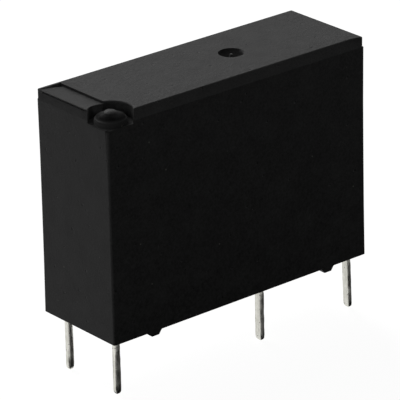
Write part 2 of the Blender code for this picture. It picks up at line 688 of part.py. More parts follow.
def make_coil_lead(name, post_y, material):
    """End of the winding, led past the flange and wrapped round its post."""
    side = math.copysign(1.0, post_y)
    end_radius = WINDING_SIZE[1] / 2
    end_x = COIL_X - WINDING_SIZE[0] / 2 + end_radius
    reach = end_radius + LEAD_DIAMETER / 2 + FIT
    level = WINDING_Z + LEAD_RISE
    flange_x = FLANGE_LEFT_X - LEAD_DIAMETER
    leave_y = side * reach * math.sin(LEAD_LEAVES_AT)
    path = [
        (end_x + reach * math.cos(LEAD_LEAVES_AT), leave_y, level),
        (flange_x, leave_y * LEAD_SPREAD, level),
    ]
    wrap_radius = math.hypot(*COIL_PIN_SIZE) / 2 + LEAD_DIAMETER / 2 + PIN_FIT / 2
    top = FLOOR_Z + COIL_POST_HEIGHT - LEAD_DIAMETER
    for step in range(LEAD_TURNS * LEAD_STEPS + 1):
        turns = step / LEAD_STEPS
        x = COIL_PIN_X + wrap_radius * math.cos(2 * math.pi * turns)
        y = post_y + side * wrap_radius * math.sin(2 * math.pi * turns)
        path.append((x, y, top - (LEAD_DIAMETER + PIN_FIT) * turns))
    curve = bpy.data.curves.new(name, "CURVE")
    curve.dimensions = "3D"
    curve.bevel_depth = LEAD_DIAMETER / 2
    curve.bevel_resolution = 1
    curve.use_fill_caps = True
    spline = curve.splines.new("POLY")
    spline.points.add(len(path) - 1)
    for point, place in zip(spline.points, path):
        point.co = (*place, 1.0)
    curve.materials.append(material)
    lead = bpy.data.objects.new(name, curve)
    bpy.context.scene.collection.objects.link(lead)
    return lead


def make_bobbin(material):
    """Spool with two flanges on a tube that fits the core."""
    centre = (COIL_X, 0.0)
    flange = rounded_rect(FLANGE_SIZE, FLANGE_CORNER, centre)
    bore_size = smaller(CORE_SECTION, -FIT)
    tube = oval(smaller(bore_size, -BOBBIN_WALL), centre)
    bobbin = lofted(
        "bobbin",
        [
            (BOBBIN_Z, flange),
            (WINDING_Z, flange),
            (WINDING_Z, tube),
            (WINDING_TOP_Z, tube),
            (WINDING_TOP_Z, flange),
            (BOBBIN_TOP_Z, flange),
        ],
        material,
    )
    low, high = BOBBIN_Z - CUT_OVERSHOOT, BOBBIN_TOP_Z + CUT_OVERSHOOT
    cut(bobbin, prism("cut_bobbin_bore", oval(bore_size, centre), "Z", low, high))
    return bobbin


def make_winding(material):
    """Wound wire as one oblong ring between the flanges."""
    centre = (COIL_X, 0.0)
    low, high = WINDING_Z + FIT, WINDING_TOP_Z - FIT
    winding = prism("winding", oval(WINDING_SIZE, centre), "Z", low, high, material)
    hole = oval(smaller(CORE_SECTION, -2 * FIT - BOBBIN_WALL), centre)
    cut(winding, prism("cut_winding_hole", hole, "Z", low - CUT_OVERSHOOT, high + CUT_OVERSHOOT))
    return winding


def make_core(material):
    """Iron core, its shank staked in the yoke and its pole face on top."""
    centre = (COIL_X, 0.0)
    shank = oval(CORE_SECTION, centre)
    pole = rounded_rect(POLE_SECTION, POLE_CORNER, centre)
    shoulder = POLE_Z - POLE_THICKNESS
    return lofted("core", [(YOKE_Z, shank), (shoulder, shank), (shoulder, pole), (POLE_Z, pole)], material)


def make_yoke(material):
    """Folded iron frame: one leg under the coil, one up beside it that ends in the hinge edge."""
    middle_x = YOKE_FACE_X - YOKE_THICKNESS / 2
    middle_z = YOKE_Z + YOKE_THICKNESS / 2
    path = [(YOKE_END_X, middle_z), (middle_x, middle_z), (middle_x, POLE_Z)]
    outline = strip_outline(path, YOKE_THICKNESS, YOKE_BEND)
    yoke = prism("yoke", outline, "Y", -YOKE_WIDTH / 2, YOKE_WIDTH / 2, material)
    for index, side in enumerate((-1, 1)):
        length = STAKE_ROOT + FIT + HINGE_SPRING_THICKNESS + STAKE_PROUD
        stake = turned(
            f"join_yoke_stake_{index}",
            [(0, 0), (STAKE_RADIUS, 0), (STAKE_RADIUS, length), (0, length)],
            (YOKE_FACE_X - STAKE_ROOT, side * STAKE_SPACING / 2, STAKE_Z),
            "X",
            RIVET_STEPS,
        )
        join(yoke, stake)
    hole = oval(smaller(CORE_SECTION, -PIN_FIT), (COIL_X, 0.0))
    cut(yoke, prism("cut_yoke_hole", hole, "Z", YOKE_Z - CUT_OVERSHOOT, YOKE_Z + 2 * YOKE_THICKNESS))
    return yoke


def make_armature(material):
    """Folded iron plate: the arm stands open over the pole, the leg hangs outside the yoke."""
    half = ARMATURE_THICKNESS / 2
    leg_x = LEG_X + half
    corner_z = POLE_Z + FIT + half * math.tan(math.pi / 4 - ARMATURE_SWING / 2)
    tip_x = COIL_X - POLE_ALONG / 2 - ARMATURE_OVERHANG
    tip_z = corner_z + (leg_x - tip_x) * math.tan(ARMATURE_SWING)
    path = [(leg_x, LEG_END_Z), (leg_x, corner_z), (tip_x, tip_z)]
    outline = strip_outline(path, ARMATURE_THICKNESS, ARMATURE_BEND)
    armature = prism("armature", outline, "Y", -ARMATURE_WIDTH / 2, ARMATURE_WIDTH / 2, material)
    for side in (-1, 1):
        inner = side * ARMATURE_NECK_WIDTH / 2
        outer = side * ARMATURE_WIDTH
        shoulder = box(
            f"cut_armature_shoulder_{side}",
            (YOKE_FACE_X - ARMATURE_NECK, min(inner, outer), LEG_END_Z - CUT_OVERSHOOT),
            (leg_x + ARMATURE_THICKNESS, max(inner, outer), TOP_Z),
        )
        cut(armature, shoulder)
    return armature


def make_hinge_spring(material):
    """Leaf staked on the yoke, with two hooks that press the armature onto the hinge edge."""
    half = HINGE_SPRING_THICKNESS / 2
    upright_x = YOKE_FACE_X + FIT + half
    arm_top = POLE_Z + FIT + ARMATURE_THICKNESS / math.cos(ARMATURE_SWING)
    hook_z = arm_top + HINGE_SPRING_HOOK * math.tan(ARMATURE_SWING) + FIT + half
    path = [(upright_x, HINGE_SPRING_Z), (upright_x, hook_z), (upright_x - HINGE_SPRING_HOOK, hook_z)]
    outline = strip_outline(path, HINGE_SPRING_THICKNESS, HINGE_SPRING_BEND)
    spring = prism("hinge_spring", outline, "Y", -ARMATURE_WIDTH / 2, ARMATURE_WIDTH / 2, material)
    half_gap = ARMATURE_WIDTH / 2 - HINGE_SPRING_ARM
    window = box(
        "cut_hinge_spring_window",
        (upright_x - 2 * HINGE_SPRING_HOOK, -half_gap, HINGE_WINDOW_Z),
        (upright_x + CUT_OVERSHOOT, half_gap, TOP_Z),
    )
    cut(spring, window)
    radius = STAKE_RADIUS + PIN_FIT
    for index, side in enumerate((-1, 1)):
        hole = turned(
            f"cut_hinge_spring_hole_{index}",
            [(0, 0), (radius, 0), (radius, 2 * CUT_OVERSHOOT), (0, 2 * CUT_OVERSHOOT)],
            (upright_x - CUT_OVERSHOOT, side * STAKE_SPACING / 2, STAKE_Z),
            "X",
            RIVET_STEPS,
        )
        cut(spring, hole)
    return spring


def make_card(material):
    """Moulded pusher from the armature's leg, through the barrier, to the contact spring."""
    nose_x = SPRING_BACK_X - FIT
    neck_x = nose_x - CARD_NOSE_LENGTH
    half_body, half_nose = CARD_WIDTH / 2, CARD_NOSE_WIDTH / 2
    start = CARD_X + CARD_HEAD_LENGTH / 2
    side = [(start, half_body), (neck_x, half_body), (nose_x, half_nose)]
    outline = [(x, -y) for x, y in side] + side[::-1]
    low, high = CARD_Z - CARD_THICKNESS / 2, CARD_Z + CARD_THICKNESS / 2
    card = prism("card", outline, "Z", low, high, material)
    head = box(
        "join_card_head",
        (CARD_X, -CARD_HEAD_WIDTH / 2, CARD_Z - CARD_HEAD_HEIGHT / 2),
        (CARD_X + CARD_HEAD_LENGTH, CARD_HEAD_WIDTH / 2, CARD_Z + CARD_HEAD_HEIGHT / 2),
    )
    join(card, head)
    return card


def rod_along_x(name, radius, low_x, high_x, y, z):
    """Plain round cutter along X."""
    length = high_x - low_x
    return turned(name, [(0, 0), (radius, 0), (radius, length), (0, length)], (low_x, y, z), "X", RIVET_STEPS)


def make_moving_spring(material):
    """Contact leaf, tapered towards its tip, with a slot that makes its foot supple."""
    half_root, half_tip = SPRING_ROOT_WIDTH / 2, SPRING_TIP_WIDTH / 2
    right = [
        (half_root, SPRING_Z),
        (half_root, SPRING_Z + SPRING_TAPER_START),
        (half_tip, CONTACT_Z),
        (half_tip, SPRING_TOP_Z - SPRING_TIP_CORNER),
        (half_tip - SPRING_TIP_CORNER, SPRING_TOP_Z),
    ]
    outline = right + [(-y, z) for y, z in right[::-1]]
    spring = prism("moving_spring", outline, "X", SPRING_BACK_X, SPRING_FACE_X, material)
    low_x, high_x = SPRING_BACK_X - CUT_OVERSHOOT, SPRING_FACE_X + CUT_OVERSHOOT
    slot_z = SPRING_Z + SPRING_SLOT_START + SPRING_SLOT_LENGTH / 2
    slot = oval((SPRING_SLOT_WIDTH, SPRING_SLOT_LENGTH), (0.0, slot_z))
    cut(spring, prism("cut_spring_slot", slot, "X", low_x, high_x))
    radius = CONTACT_SHANK + PIN_FIT
    cut(spring, rod_along_x("cut_spring_contact_hole", radius, low_x, high_x, 0.0, CONTACT_Z))
    radius = RIVET_RADIUS + 2 * PIN_FIT
    rivet_z = SPRING_Z + RIVET_RISE
    for index, side in enumerate((-1, 1)):
        y = side * RIVET_SPACING / 2
        cut(spring, rod_along_x(f"cut_spring_rivet_hole_{index}", radius, low_x, high_x, y, rivet_z))
    return spring


def make_contact(name, face_x, back_x, material):
    """Silver rivet: domed head on the face, shank through the sheet, flat tail on its back."""
    outwards = math.copysign(1.0, face_x - back_x)
    sheet = abs(face_x - back_x)
    tail_x = -sheet - PIN_FIT
    profile = [
        (0, tail_x - CONTACT_TAIL),
        (CONTACT_TAIL_RADIUS, tail_x - CONTACT_TAIL),
        (CONTACT_TAIL_RADIUS, tail_x),
        (CONTACT_SHANK, tail_x),
        (CONTACT_SHANK, PIN_FIT),
    ]
    for step in range(CORNER_STEPS + 1):
        radius = CONTACT_RADIUS * (1 - step / CORNER_STEPS)
        crown = CONTACT_DOME * (radius / CONTACT_RADIUS) ** 2
        if step == 0:
            profile.append((radius, PIN_FIT))
        profile.append((radius, CONTACT_HEAD - crown))
    profile = [(radius, outwards * height) for radius, height in profile]
    return turned(name, profile, (face_x, 0.0, CONTACT_Z), "X", RIVET_STEPS, material)


def make_terminal(name, plate_x, plate_width, top, material):
    """Sheet terminal: pin, run along the base and upright plate, blanked and folded as one piece."""
    pin_x, pin_y, size = pin_places()[name]
    half = TERMINAL_THICKNESS / 2
    run_z = RUN_Z + half
    low = FLOOR_Z - BASE_THICKNESS / 2
    path = [(pin_x, low), (pin_x, run_z), (plate_x, run_z), (plate_x, top)]
    front, rear = pin_y - BLADE_PIN_WIDTH / 2, plate_width / 2
    sheet = prism(name, strip_outline(path, TERMINAL_THICKNESS, TERMINAL_BEND), "Y", front, rear, material)
    inward = math.copysign(1.0, plate_x - pin_x)
    run_end = plate_x - inward * (half + TERMINAL_BEND)
    ends = sorted((pin_x - inward * TERMINAL_THICKNESS, run_end))
    beside_run = box(
        f"cut_{name}_beside_run",
        (ends[0], front + RUN_WIDTH, low - CUT_OVERSHOOT),
        (ends[1], rear + CUT_OVERSHOOT, run_z + 2 * TERMINAL_THICKNESS),
    )
    beside_pin = box(
        f"cut_{name}_beside_pin",
        (pin_x - TERMINAL_THICKNESS, pin_y + BLADE_PIN_WIDTH / 2, low - CUT_OVERSHOOT),
        (pin_x + TERMINAL_THICKNESS, rear + CUT_OVERSHOOT, RUN_Z),
    )
    beside_plate = box(
        f"cut_{name}_beside_plate",
        (plate_x - TERMINAL_THICKNESS, front - CUT_OVERSHOOT, RUN_Z + TERMINAL_THICKNESS + TERMINAL_BEND),
        (plate_x + TERMINAL_THICKNESS, -plate_width / 2, top + CUT_OVERSHOOT),
    )
    cut(sheet, beside_run, beside_pin, beside_plate)
    join(sheet, pin(f"join_{name}_pin", pin_x, pin_y, size, (low + RUN_Z) / 2))
    return sheet


def make_moving_terminal(material):
    """Terminal in the middle of the front row, with the upright tab that carries the contact leaf."""
    plate_x = TAB_X - TERMINAL_THICKNESS / 2
    terminal = make_terminal("moving_terminal", plate_x, TAB_WIDTH, RUN_Z + TAB_HEIGHT, material)
    low_x, high_x = plate_x - CUT_OVERSHOOT, plate_x + CUT_OVERSHOOT
    radius = RIVET_RADIUS + PIN_FIT
    rivet_z = SPRING_Z + RIVET_RISE
    for index, side in enumerate((-1, 1)):
        y = side * RIVET_SPACING / 2
        cut(terminal, rod_along_x(f"cut_tab_hole_{index}", radius, low_x, high_x, y, rivet_z))
    return terminal


def make_fixed_terminal(material):
    """Terminal at the right end, with the upright plate that carries the fixed contact."""
    plate_x = FIXED_FACE_X + TERMINAL_THICKNESS / 2
    terminal = make_terminal("fixed_terminal", plate_x, FIXED_PLATE_WIDTH, SPRING_TOP_Z, material)
    low_x, high_x = plate_x - CUT_OVERSHOOT, plate_x + CUT_OVERSHOOT
    cut(terminal, rod_along_x("cut_plate_hole", CONTACT_SHANK + PIN_FIT, low_x, high_x, 0.0, CONTACT_Z))
    return terminal


def make_spring_rivet(name, y, material):
    """Rivet that fastens the contact leaf to its terminal, loose enough for the leaf to bend."""
    low_x = TAB_X - TERMINAL_THICKNESS - FIT - RIVET_HEAD
    shank = SPRING_FACE_X + RIVET_SLACK - low_x - RIVET_HEAD
    profile = [
        (0, 0),
        (RIVET_HEAD_RADIUS, 0),
        (RIVET_HEAD_RADIUS, RIVET_HEAD),
        (RIVET_RADIUS, RIVET_HEAD),
        (RIVET_RADIUS, RIVET_HEAD + shank),
        (RIVET_HEAD_RADIUS, RIVET_HEAD + shank),
        (RIVET_HEAD_RADIUS, 2 * RIVET_HEAD - RIVET_CROWN + shank),
        (0, 2 * RIVET_HEAD + shank),
    ]
    return turned(name, profile, (low_x, y, SPRING_Z + RIVET_RISE), "X", RIVET_STEPS, material)


def make_joint_empty(name, place, pieces):
    """Empty on a joint's axis that carries the pieces of one moving body."""
    empty = bpy.data.objects.new(name, None)
    empty.location = place
    empty.empty_display_size = MM
    bpy.context.scene.collection.objects.link(empty)
    for piece in pieces:
        piece.parent = empty
        piece.matrix_parent_inverse = Matrix.Translation(-Vector(place))
    return empty


def main():
    for old in list(bpy.data.objects):
        bpy.data.objects.remove(old)
    plastic = make_material("case_plastic", (0.012, 0.012, 0.012), 0.62)
    base_plastic = make_material("base_plastic", (0.02, 0.02, 0.02), 0.55)
    resin = make_material("epoxy_resin", (0.01, 0.01, 0.011), 0.3)
    tin = make_material("tinned_copper", (0.62, 0.61, 0.57), 0.32, 1.0)
    iron = make_material("plated_iron", (0.55, 0.55, 0.54), 0.35, 1.0)
    nylon = make_material("bobbin_plastic", (0.72, 0.7, 0.62), 0.5)
    wire = make_material("enamelled_copper", (0.5, 0.18, 0.06), 0.35, 0.8)
    bronze = make_material("spring_bronze", (0.65, 0.42, 0.2), 0.3, 1.0)
    silver = make_material("contact_silver", (0.8, 0.79, 0.76), 0.28, 1.0)
    card_plastic = make_material("card_plastic", (0.6, 0.6, 0.55), 0.5)

    make_case(plastic)
    make_base(base_plastic)
    make_resin(resin)
    make_coil_terminal("coil_terminal_front", tin)
    make_coil_terminal("coil_terminal_rear", tin)
    make_coil_lead("coil_lead_front", FRONT_ROW_Y, wire)
    make_coil_lead("coil_lead_rear", REAR_PIN_Y, wire)
    make_bobbin(nylon)
    make_winding(wire)
    make_core(iron)
    make_yoke(iron)
    make_hinge_spring(bronze)
    make_moving_terminal(tin)
    make_fixed_terminal(tin)
    make_contact("fixed_contact", FIXED_FACE_X, FIXED_FACE_X + TERMINAL_THICKNESS, silver)
    make_spring_rivet("spring_rivet_front", -RIVET_SPACING / 2, bronze)
    make_spring_rivet("spring_rivet_rear", RIVET_SPACING / 2, bronze)

    make_joint_empty("armature_pivot", PIVOT, [make_armature(iron)])
    make_joint_empty("card_guide", (CARD_X, 0.0, CARD_Z), [make_card(card_plastic)])
    moving_contact = make_contact("moving_contact", SPRING_FACE_X, SPRING_BACK_X, silver)
    make_joint_empty("spring_foot", SPRING_FOOT, [make_moving_spring(bronze), moving_contact])


if __name__ == "__main__":
    main()
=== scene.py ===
"""Looks of a slim sealed power relay for a circuit board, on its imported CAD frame.

Every piece stands where the CAD node that it replaces stands, in metres: X is the
relay's length (coil pins at -X), -Y faces the row of three pins, Z is up.
"""

import json
import math

import bmesh
import bpy
from bpy.props import FloatProperty, FloatVectorProperty, PointerProperty, StringProperty
from mathutils import Matrix, Vector, noise

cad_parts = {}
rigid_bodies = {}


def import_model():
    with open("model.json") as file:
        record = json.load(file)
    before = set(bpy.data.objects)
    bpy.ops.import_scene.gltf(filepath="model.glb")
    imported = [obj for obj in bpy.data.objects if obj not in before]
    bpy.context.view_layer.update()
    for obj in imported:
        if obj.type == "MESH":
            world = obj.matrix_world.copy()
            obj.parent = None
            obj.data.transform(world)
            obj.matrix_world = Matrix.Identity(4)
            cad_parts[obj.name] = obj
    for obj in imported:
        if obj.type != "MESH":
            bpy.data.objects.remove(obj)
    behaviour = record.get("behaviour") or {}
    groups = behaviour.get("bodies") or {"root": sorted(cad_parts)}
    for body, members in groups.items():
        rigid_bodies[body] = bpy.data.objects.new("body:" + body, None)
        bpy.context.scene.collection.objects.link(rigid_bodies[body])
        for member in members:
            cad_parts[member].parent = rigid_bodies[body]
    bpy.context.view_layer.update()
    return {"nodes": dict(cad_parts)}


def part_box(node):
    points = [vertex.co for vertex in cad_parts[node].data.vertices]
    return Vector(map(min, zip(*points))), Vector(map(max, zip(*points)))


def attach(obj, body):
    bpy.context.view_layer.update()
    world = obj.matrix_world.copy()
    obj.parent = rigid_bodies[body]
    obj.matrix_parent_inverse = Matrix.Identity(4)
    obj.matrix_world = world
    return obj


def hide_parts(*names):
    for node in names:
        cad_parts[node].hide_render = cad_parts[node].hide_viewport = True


bl_info = {
    "name": "Circuit Board Relay",
    "version": (1, 0, 0),
    "blender": (4, 5, 0),
    "location": "3D View > Sidebar > Relay",
    "description": "Dresses the CAD frame of a sealed circuit board relay and sets its studio stage",
    "category": "Object",
}

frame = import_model()

MM = 0.001
WHITE = (1.0, 1.0, 1.0, 1.0)
SEEN_BY = ("Is Camera Ray", "Is Glossy Ray", "Is Transmission Ray")

# Sockets of the Mix node, for numbers and for colours
MIX_FACTOR = 0
NUMBER_A, NUMBER_B, NUMBER_OUT = 2, 3, 0
COLOUR_A, COLOUR_B, COLOUR_OUT = 6, 7, 2

# Noise keeps near 0.5: nearly all of it lies in this range
NOISE_RANGE = (0.3, 0.7)

# Merging, cutting and shading
WELD = 0.0005 * MM
NEAR = 0.002 * MM
AXES = (Vector((1.0, 0.0, 0.0)), Vector((0.0, 1.0, 0.0)))
FLAT_WITHIN = math.radians(0.1)
SMOOTH_BELOW = math.radians(35.0)
SHARP_ABOVE = math.radians(40.0)
PIN_SMOOTH_BELOW = math.radians(50.0)
LEAD_SMOOTH_BELOW = math.radians(65.0)
TURN_SMOOTH_BELOW = math.radians(80.0)

# Rounding of edges by how a piece is made
IRON_ROUND = 0.06 * MM
MOULDED_ROUND = 0.05 * MM
BASE_ROUND = 0.04 * MM
SHEET_ROUND = 0.03 * MM
TERMINAL_ROUND = 0.01 * MM

# Case: wall and feet, and the share of its height where its sides start to lean in and over which they do
CASE_WALL = 0.45 * MM
FOOT_HEIGHT = 0.3 * MM
DRAFT_START = 0.45
DRAFT_SPAN = 0.45

# Case: the upper band, its corner at the contact end and the groove in its coil end
BAND_HEIGHT = 0.68 * MM
BAND_CORNER = 1.2 * MM
BAND_CORNER_OUT = 0.26 * MM
BAND_CORNER_STEPS = 6
GROOVE_BELOW_TOP = (0.08 * MM, 0.24 * MM)
GROOVE_REACH = BAND_CORNER / 8
GROOVE_LIFT = 0.06 * MM

# Case: the gate's nub, and where painted shade and painted light lie on the coil end's band and on the nub, with
# the depths between which each one fades in
NUB_CENTRE = (-9.11 * MM, -2.37 * MM)
GATE_SKIN_RADIUS = (1.36 * MM, 1.32 * MM)
GATE_SIDE = (-0.8 * MM, -1.1 * MM)
END_FACE_DEPTH = (0.1 * MM, 0.07 * MM)
BAND_BELOW_TOP = (0.74 * MM, 0.66 * MM)
CREST_BELOW_TOP = (0.12 * MM, 0.18 * MM)
RECESS_BELOW_TOP = (0.95 * MM, 0.88 * MM)
NUB_FOOT_BELOW_TOP = (0.36 * MM, 0.5 * MM)
TOP_SKIN = (0.03 * MM, 0.01 * MM)
FLANK_FROM_CENTRE = (0.1 * MM, -0.3 * MM)

# Gloss of the moulded case, and of the torn plastic at its gate
MOULDED_GLOSS = 0.08
TORN_GLOSS = 0.015
DUST = "6e6e68"

# Resin: how far it creeps over the gap to the case's wall and to the pins, and where it is cut to curve
WALL_CREEP = 0.035 * MM
PIN_CREEP = 0.025 * MM
PIN_GAP = 0.04 * MM
RESIN_CUTS = (0.0, 0.3, 0.7, 1.2, 1.9, 2.8)
RESIN_CURVE = 1.3

# Terminals: name of the piece, thickness of its tin, and how far its tip leans to the contact end
PINS = {
    "coil_terminal_front": ("coil_pin_front", 0.02 * MM, 0.0),
    "coil_terminal_rear": ("coil_pin_rear", 0.03 * MM, 0.0),
    "moving_terminal": ("moving_contact_pin", 0.045 * MM, 0.0),
    "fixed_terminal": ("fixed_contact_pin", 0.03 * MM, 0.12 * MM),
}

# Terminals: shares of a pin's half sides that are round, and where that round is cut
PIN_ROUND = (0.85, 0.7)
PIN_ROUND_CUTS = (1.0, 0.66, 0.45)

# Terminals: height over the base above which they are sheet, and the shortest edge that is rounded there
SHEET_START = 1.2 * MM
SHEET_EDGE = 0.15 * MM

# Terminals: where the tin reaches its thickness under the rim, the round tip, the slices and the tin's waves
TIN_START = 0.3 * MM
TIP_HEIGHT = 0.4 * MM
TIP_TAPER = 0.4
FIRST_SLICE = 0.1 * MM
SLICE = 0.12 * MM
TIN_WAVE = 0.35 * MM

# Wound wire: the turns lie between the flanges, on an oblong tube round the core. Each turn is a circle that
# is parted in the middle, where the part of its width that is drawn out straight is 1 in STRAIGHT_SIDE
TURN_STEPS = 72
TURN_LEVELS = (0.12, 0.35, 0.65, 0.88, 1.0)
TUBE_WALL = 0.45 * MM
STRAIGHT_SIDE = 6.0

# Stage
FLOOR_HALF = 3.0
CARD_HEIGHT = 0.02 * MM
LAMP_AIM = Vector((0.0, 0.0, 0.01))
LEFT_LAMP = {"place": (-0.45, 0.02, 0.14), "size": 0.3}
BACK_LAMP = {"place": (0.04, 0.44, 0.32), "size": 0.35}
SENSOR_WIDTH = 36.0
CLIP_START = 0.01


# Materials


def linear(hex_colour):
    """Linear colour from an sRGB hex string."""
    channels = []
    for start in (0, 2, 4):
        share = int(hex_colour[start : start + 2], 16) / 255
        channels.append(share / 12.92 if share <= 0.04045 else ((share + 0.055) / 1.055) ** 2.4)
    return (*channels, 1.0)


def add_node(tree, kind, values=None, links=None, **settings):
    """Add a shader node with its settings, its input values and what its inputs are linked to."""
    made = tree.nodes.new(kind)
    for key, value in settings.items():
        setattr(made, key, value)
    for key, value in (values or {}).items():
        made.inputs[key].default_value = value
    for key, source in (links or {}).items():
        tree.links.new(source, made.inputs[key])
    return made


def start_material(name, **values):
    """New material with its Principled shader set to the given values."""
    material = bpy.data.materials.new(name)
    material.use_nodes = True
    tree = material.node_tree
    shader = tree.nodes["Principled BSDF"]
    for key, value in values.items():
        shader.inputs[key.replace("_", " ")].default_value = value
    return material, tree, shader


def object_coordinates(tree):
    """Places on the piece in metres, the same for every piece."""
    return add_node(tree, "ShaderNodeTexCoord").outputs["Object"]


def grain(tree, place, size, detail=3.0, roughness=0.55):
    """Noise whose patches are about the given size across."""
    values = {"Scale": 1.0 / size, "Detail": detail, "Roughness": roughness}
    return add_node(tree, "ShaderNodeTexNoise", values, {"Vector": place}).outputs["Fac"]


def ramp(tree, value, start, end, low=0.0, high=1.0):
    """Number that goes from low to high as the value goes from start to end."""
    values = {"From Min": start, "From Max": end, "To Min": low, "To Max": high}
    return add_node(tree, "ShaderNodeMapRange", values, {"Value": value}).outputs["Result"]


def spread(tree, noise_value, low=0.0, high=1.0):
    """Noise stretched between two numbers."""
    return ramp(tree, noise_value, *NOISE_RANGE, low, high)


def specks(tree, place, spacing, size):
    """Mask of small round specks, one in some cells of the given spacing."""
    values = {"Scale": 1.0 / spacing, "Randomness": 1.0}
    cells = add_node(tree, "ShaderNodeTexVoronoi", values, {"Vector": place})
    return ramp(tree, cells.outputs["Distance"], size / spacing, 0.5 * size / spacing)


def both(tree, first, second):
    """Mask that is 1 where both masks are."""
    return add_node(tree, "ShaderNodeMath", {}, {0: first, 1: second}, operation="MULTIPLY").outputs[0]


def blend(tree, first, second, share):
    """Two numbers mixed, with the given share of the second."""
    links = {NUMBER_A: first, NUMBER_B: second}
    return add_node(tree, "ShaderNodeMix", {MIX_FACTOR: share}, links).outputs[NUMBER_OUT]


def tint(tree, factor, dark, light):
    """Colour between two hex colours."""
    values = {COLOUR_A: linear(dark), COLOUR_B: linear(light)}
    mix = add_node(tree, "ShaderNodeMix", values, {MIX_FACTOR: factor}, data_type="RGBA")
    return mix.outputs[COLOUR_OUT]


def over(tree, colour, mask, hex_colour, **settings):
    """A hex colour laid over another colour where the mask is 1."""
    links = {MIX_FACTOR: mask, COLOUR_A: colour}
    mix = add_node(tree, "ShaderNodeMix", {COLOUR_B: linear(hex_colour)}, links, data_type="RGBA", **settings)
    return mix.outputs[COLOUR_OUT]


def darker(tree, colour, mask, hex_colour):
    """A colour multiplied by a hex colour where the mask is 1."""
    return over(tree, colour, mask, hex_colour, blend_type="MULTIPLY")


def bump(tree, height, depth, strength=1.0, below=None, **settings):
    """Relief of the given depth in metres."""
    links = {"Height": height}
    if below:
        links["Normal"] = below
    values = {"Distance": depth, "Strength": strength}
    return add_node(tree, "ShaderNodeBump", values, links, **settings).outputs["Normal"]


def seen_directly(tree):
    """Mask of what the camera, gloss and glass see, as against what lights the relay."""
    rays = add_node(tree, "ShaderNodeLightPath").outputs
    seen = rays[SEEN_BY[0]]
    for key in SEEN_BY[1:]:
        seen = add_node(tree, "ShaderNodeMath", {}, {0: seen, 1: rays[key]}, operation="MAXIMUM").outputs[0]
    return seen


def painted_shade_and_gate_nub(tree, place, colour, low, high):
    """Painted shade and painted light on the case, and the dull, torn nub of its gate.

    The coil end's upper band is darkened as painted shade, more on its side towards the gate, and so is the
    nub's side to the coil end; painted light makes the nub's foot paler. Beside the colour this gives masks of the
    nub and of the top.
    """
    axes = add_node(tree, "ShaderNodeSeparateXYZ", {}, {0: place}).outputs

    def below_top(depths):
        return ramp(tree, axes["Z"], high.z - depths[0], high.z - depths[1])

    # Painted shade: the coil end's upper band is darkened, and darker still on its side towards the gate.
    end_face = ramp(tree, axes["X"], low.x + END_FACE_DEPTH[0], low.x + END_FACE_DEPTH[1])
    band = both(tree, end_face, below_top(BAND_BELOW_TOP))
    colour = darker(tree, colour, band, "b8b8b8")
    near_gate = both(tree, band, ramp(tree, axes["Y"], *GATE_SIDE))
    colour = darker(tree, colour, near_gate, "b0b0b0")
    level = {1: (1.0, 1.0, 0.0)}
    flat = add_node(tree, "ShaderNodeVectorMath", level, {0: place}, operation="MULTIPLY").outputs[0]
    centre = {1: (*NUB_CENTRE, 0.0)}
    away = add_node(tree, "ShaderNodeVectorMath", centre, {0: flat}, operation="DISTANCE").outputs["Value"]
    nub = both(tree, ramp(tree, away, *GATE_SKIN_RADIUS), below_top(CREST_BELOW_TOP))
    nub = both(tree, nub, below_top(RECESS_BELOW_TOP))
    # Painted shade on the nub's side to the coil end, and painted light that makes the nub's foot paler.
    start, end = (NUB_CENTRE[0] + step for step in FLANK_FROM_CENTRE)
    colour = darker(tree, colour, both(tree, nub, ramp(tree, axes["X"], start, end)), "9c9c9c")
    colour = over(tree, colour, both(tree, nub, below_top(NUB_FOOT_BELOW_TOP)), "464646")
    return colour, nub, below_top(TOP_SKIN)


def moulded_pbt(name, dark, light, roughness, case_corners=None):
    """Glass-filled PBT from a spark-eroded mould: black, matt, with fine pits, faint flow marks and pale specks."""
    material, tree, shader = start_material(name, Specular_IOR_Level=MOULDED_GLOSS)
    place = object_coordinates(tree)
    # Spark-eroded texture is about 0.03 mm; it is drawn at 0.16 mm to show at the render's scale.
    pits = grain(tree, place, 0.16 * MM, detail=4.0)
    flow = spread(tree, grain(tree, place, 1.3 * MM), 0.2, 0.8)
    plastic = tint(tree, blend(tree, spread(tree, pits), flow, 0.5), dark, light)
    relief = bump(tree, pits, depth=0.02 * MM, strength=0.7)
    if case_corners:
        plastic, torn, top = painted_shade_and_gate_nub(tree, place, plastic, *case_corners)
        # The top's smoother skin has waves of about 0.25 mm.
        waves = spread(tree, grain(tree, place, 0.25 * MM, detail=4.0, roughness=0.65))
        relief = bump(tree, both(tree, top, waves), depth=0.02 * MM, strength=0.5, below=relief)
        gloss = ramp(tree, torn, 0.0, 1.0, MOULDED_GLOSS, TORN_GLOSS)
        tree.links.new(gloss, shader.inputs["Specular IOR Level"])
    # Specks of glass fibre and dust are about 0.05 mm; they are drawn at 0.07 mm.
    pale = specks(tree, place, spacing=1.45 * MM, size=0.07 * MM)
    # Dents from handling are about 0.05 mm wide; they are drawn at 0.1 mm to show at the render's scale.
    dents = specks(tree, place, spacing=0.9 * MM, size=0.1 * MM)
    plastic = over(tree, darker(tree, plastic, dents, "c0c0c0"), pale, DUST)
    relief = bump(tree, dents, depth=0.03 * MM, below=relief, invert=True)
    tree.links.new(plastic, shader.inputs["Base Color"])
    tree.links.new(spread(tree, pits, roughness - 0.1, roughness + 0.1), shader.inputs["Roughness"])
    tree.links.new(relief, shader.inputs["Normal"])
    return material


def cast_resin(name):
    """Black epoxy, cast and cured: glossy, with a soft orange-peel surface."""
    material, tree, shader = start_material(name, Roughness=0.22, Specular_IOR_Level=0.3)
    peel = grain(tree, object_coordinates(tree), 0.7 * MM, detail=2.0)
    tree.links.new(tint(tree, peel, "0d0d0e", "18181a"), shader.inputs["Base Color"])
    tree.links.new(bump(tree, peel, depth=0.03 * MM, strength=0.6), shader.inputs["Normal"])
    return material


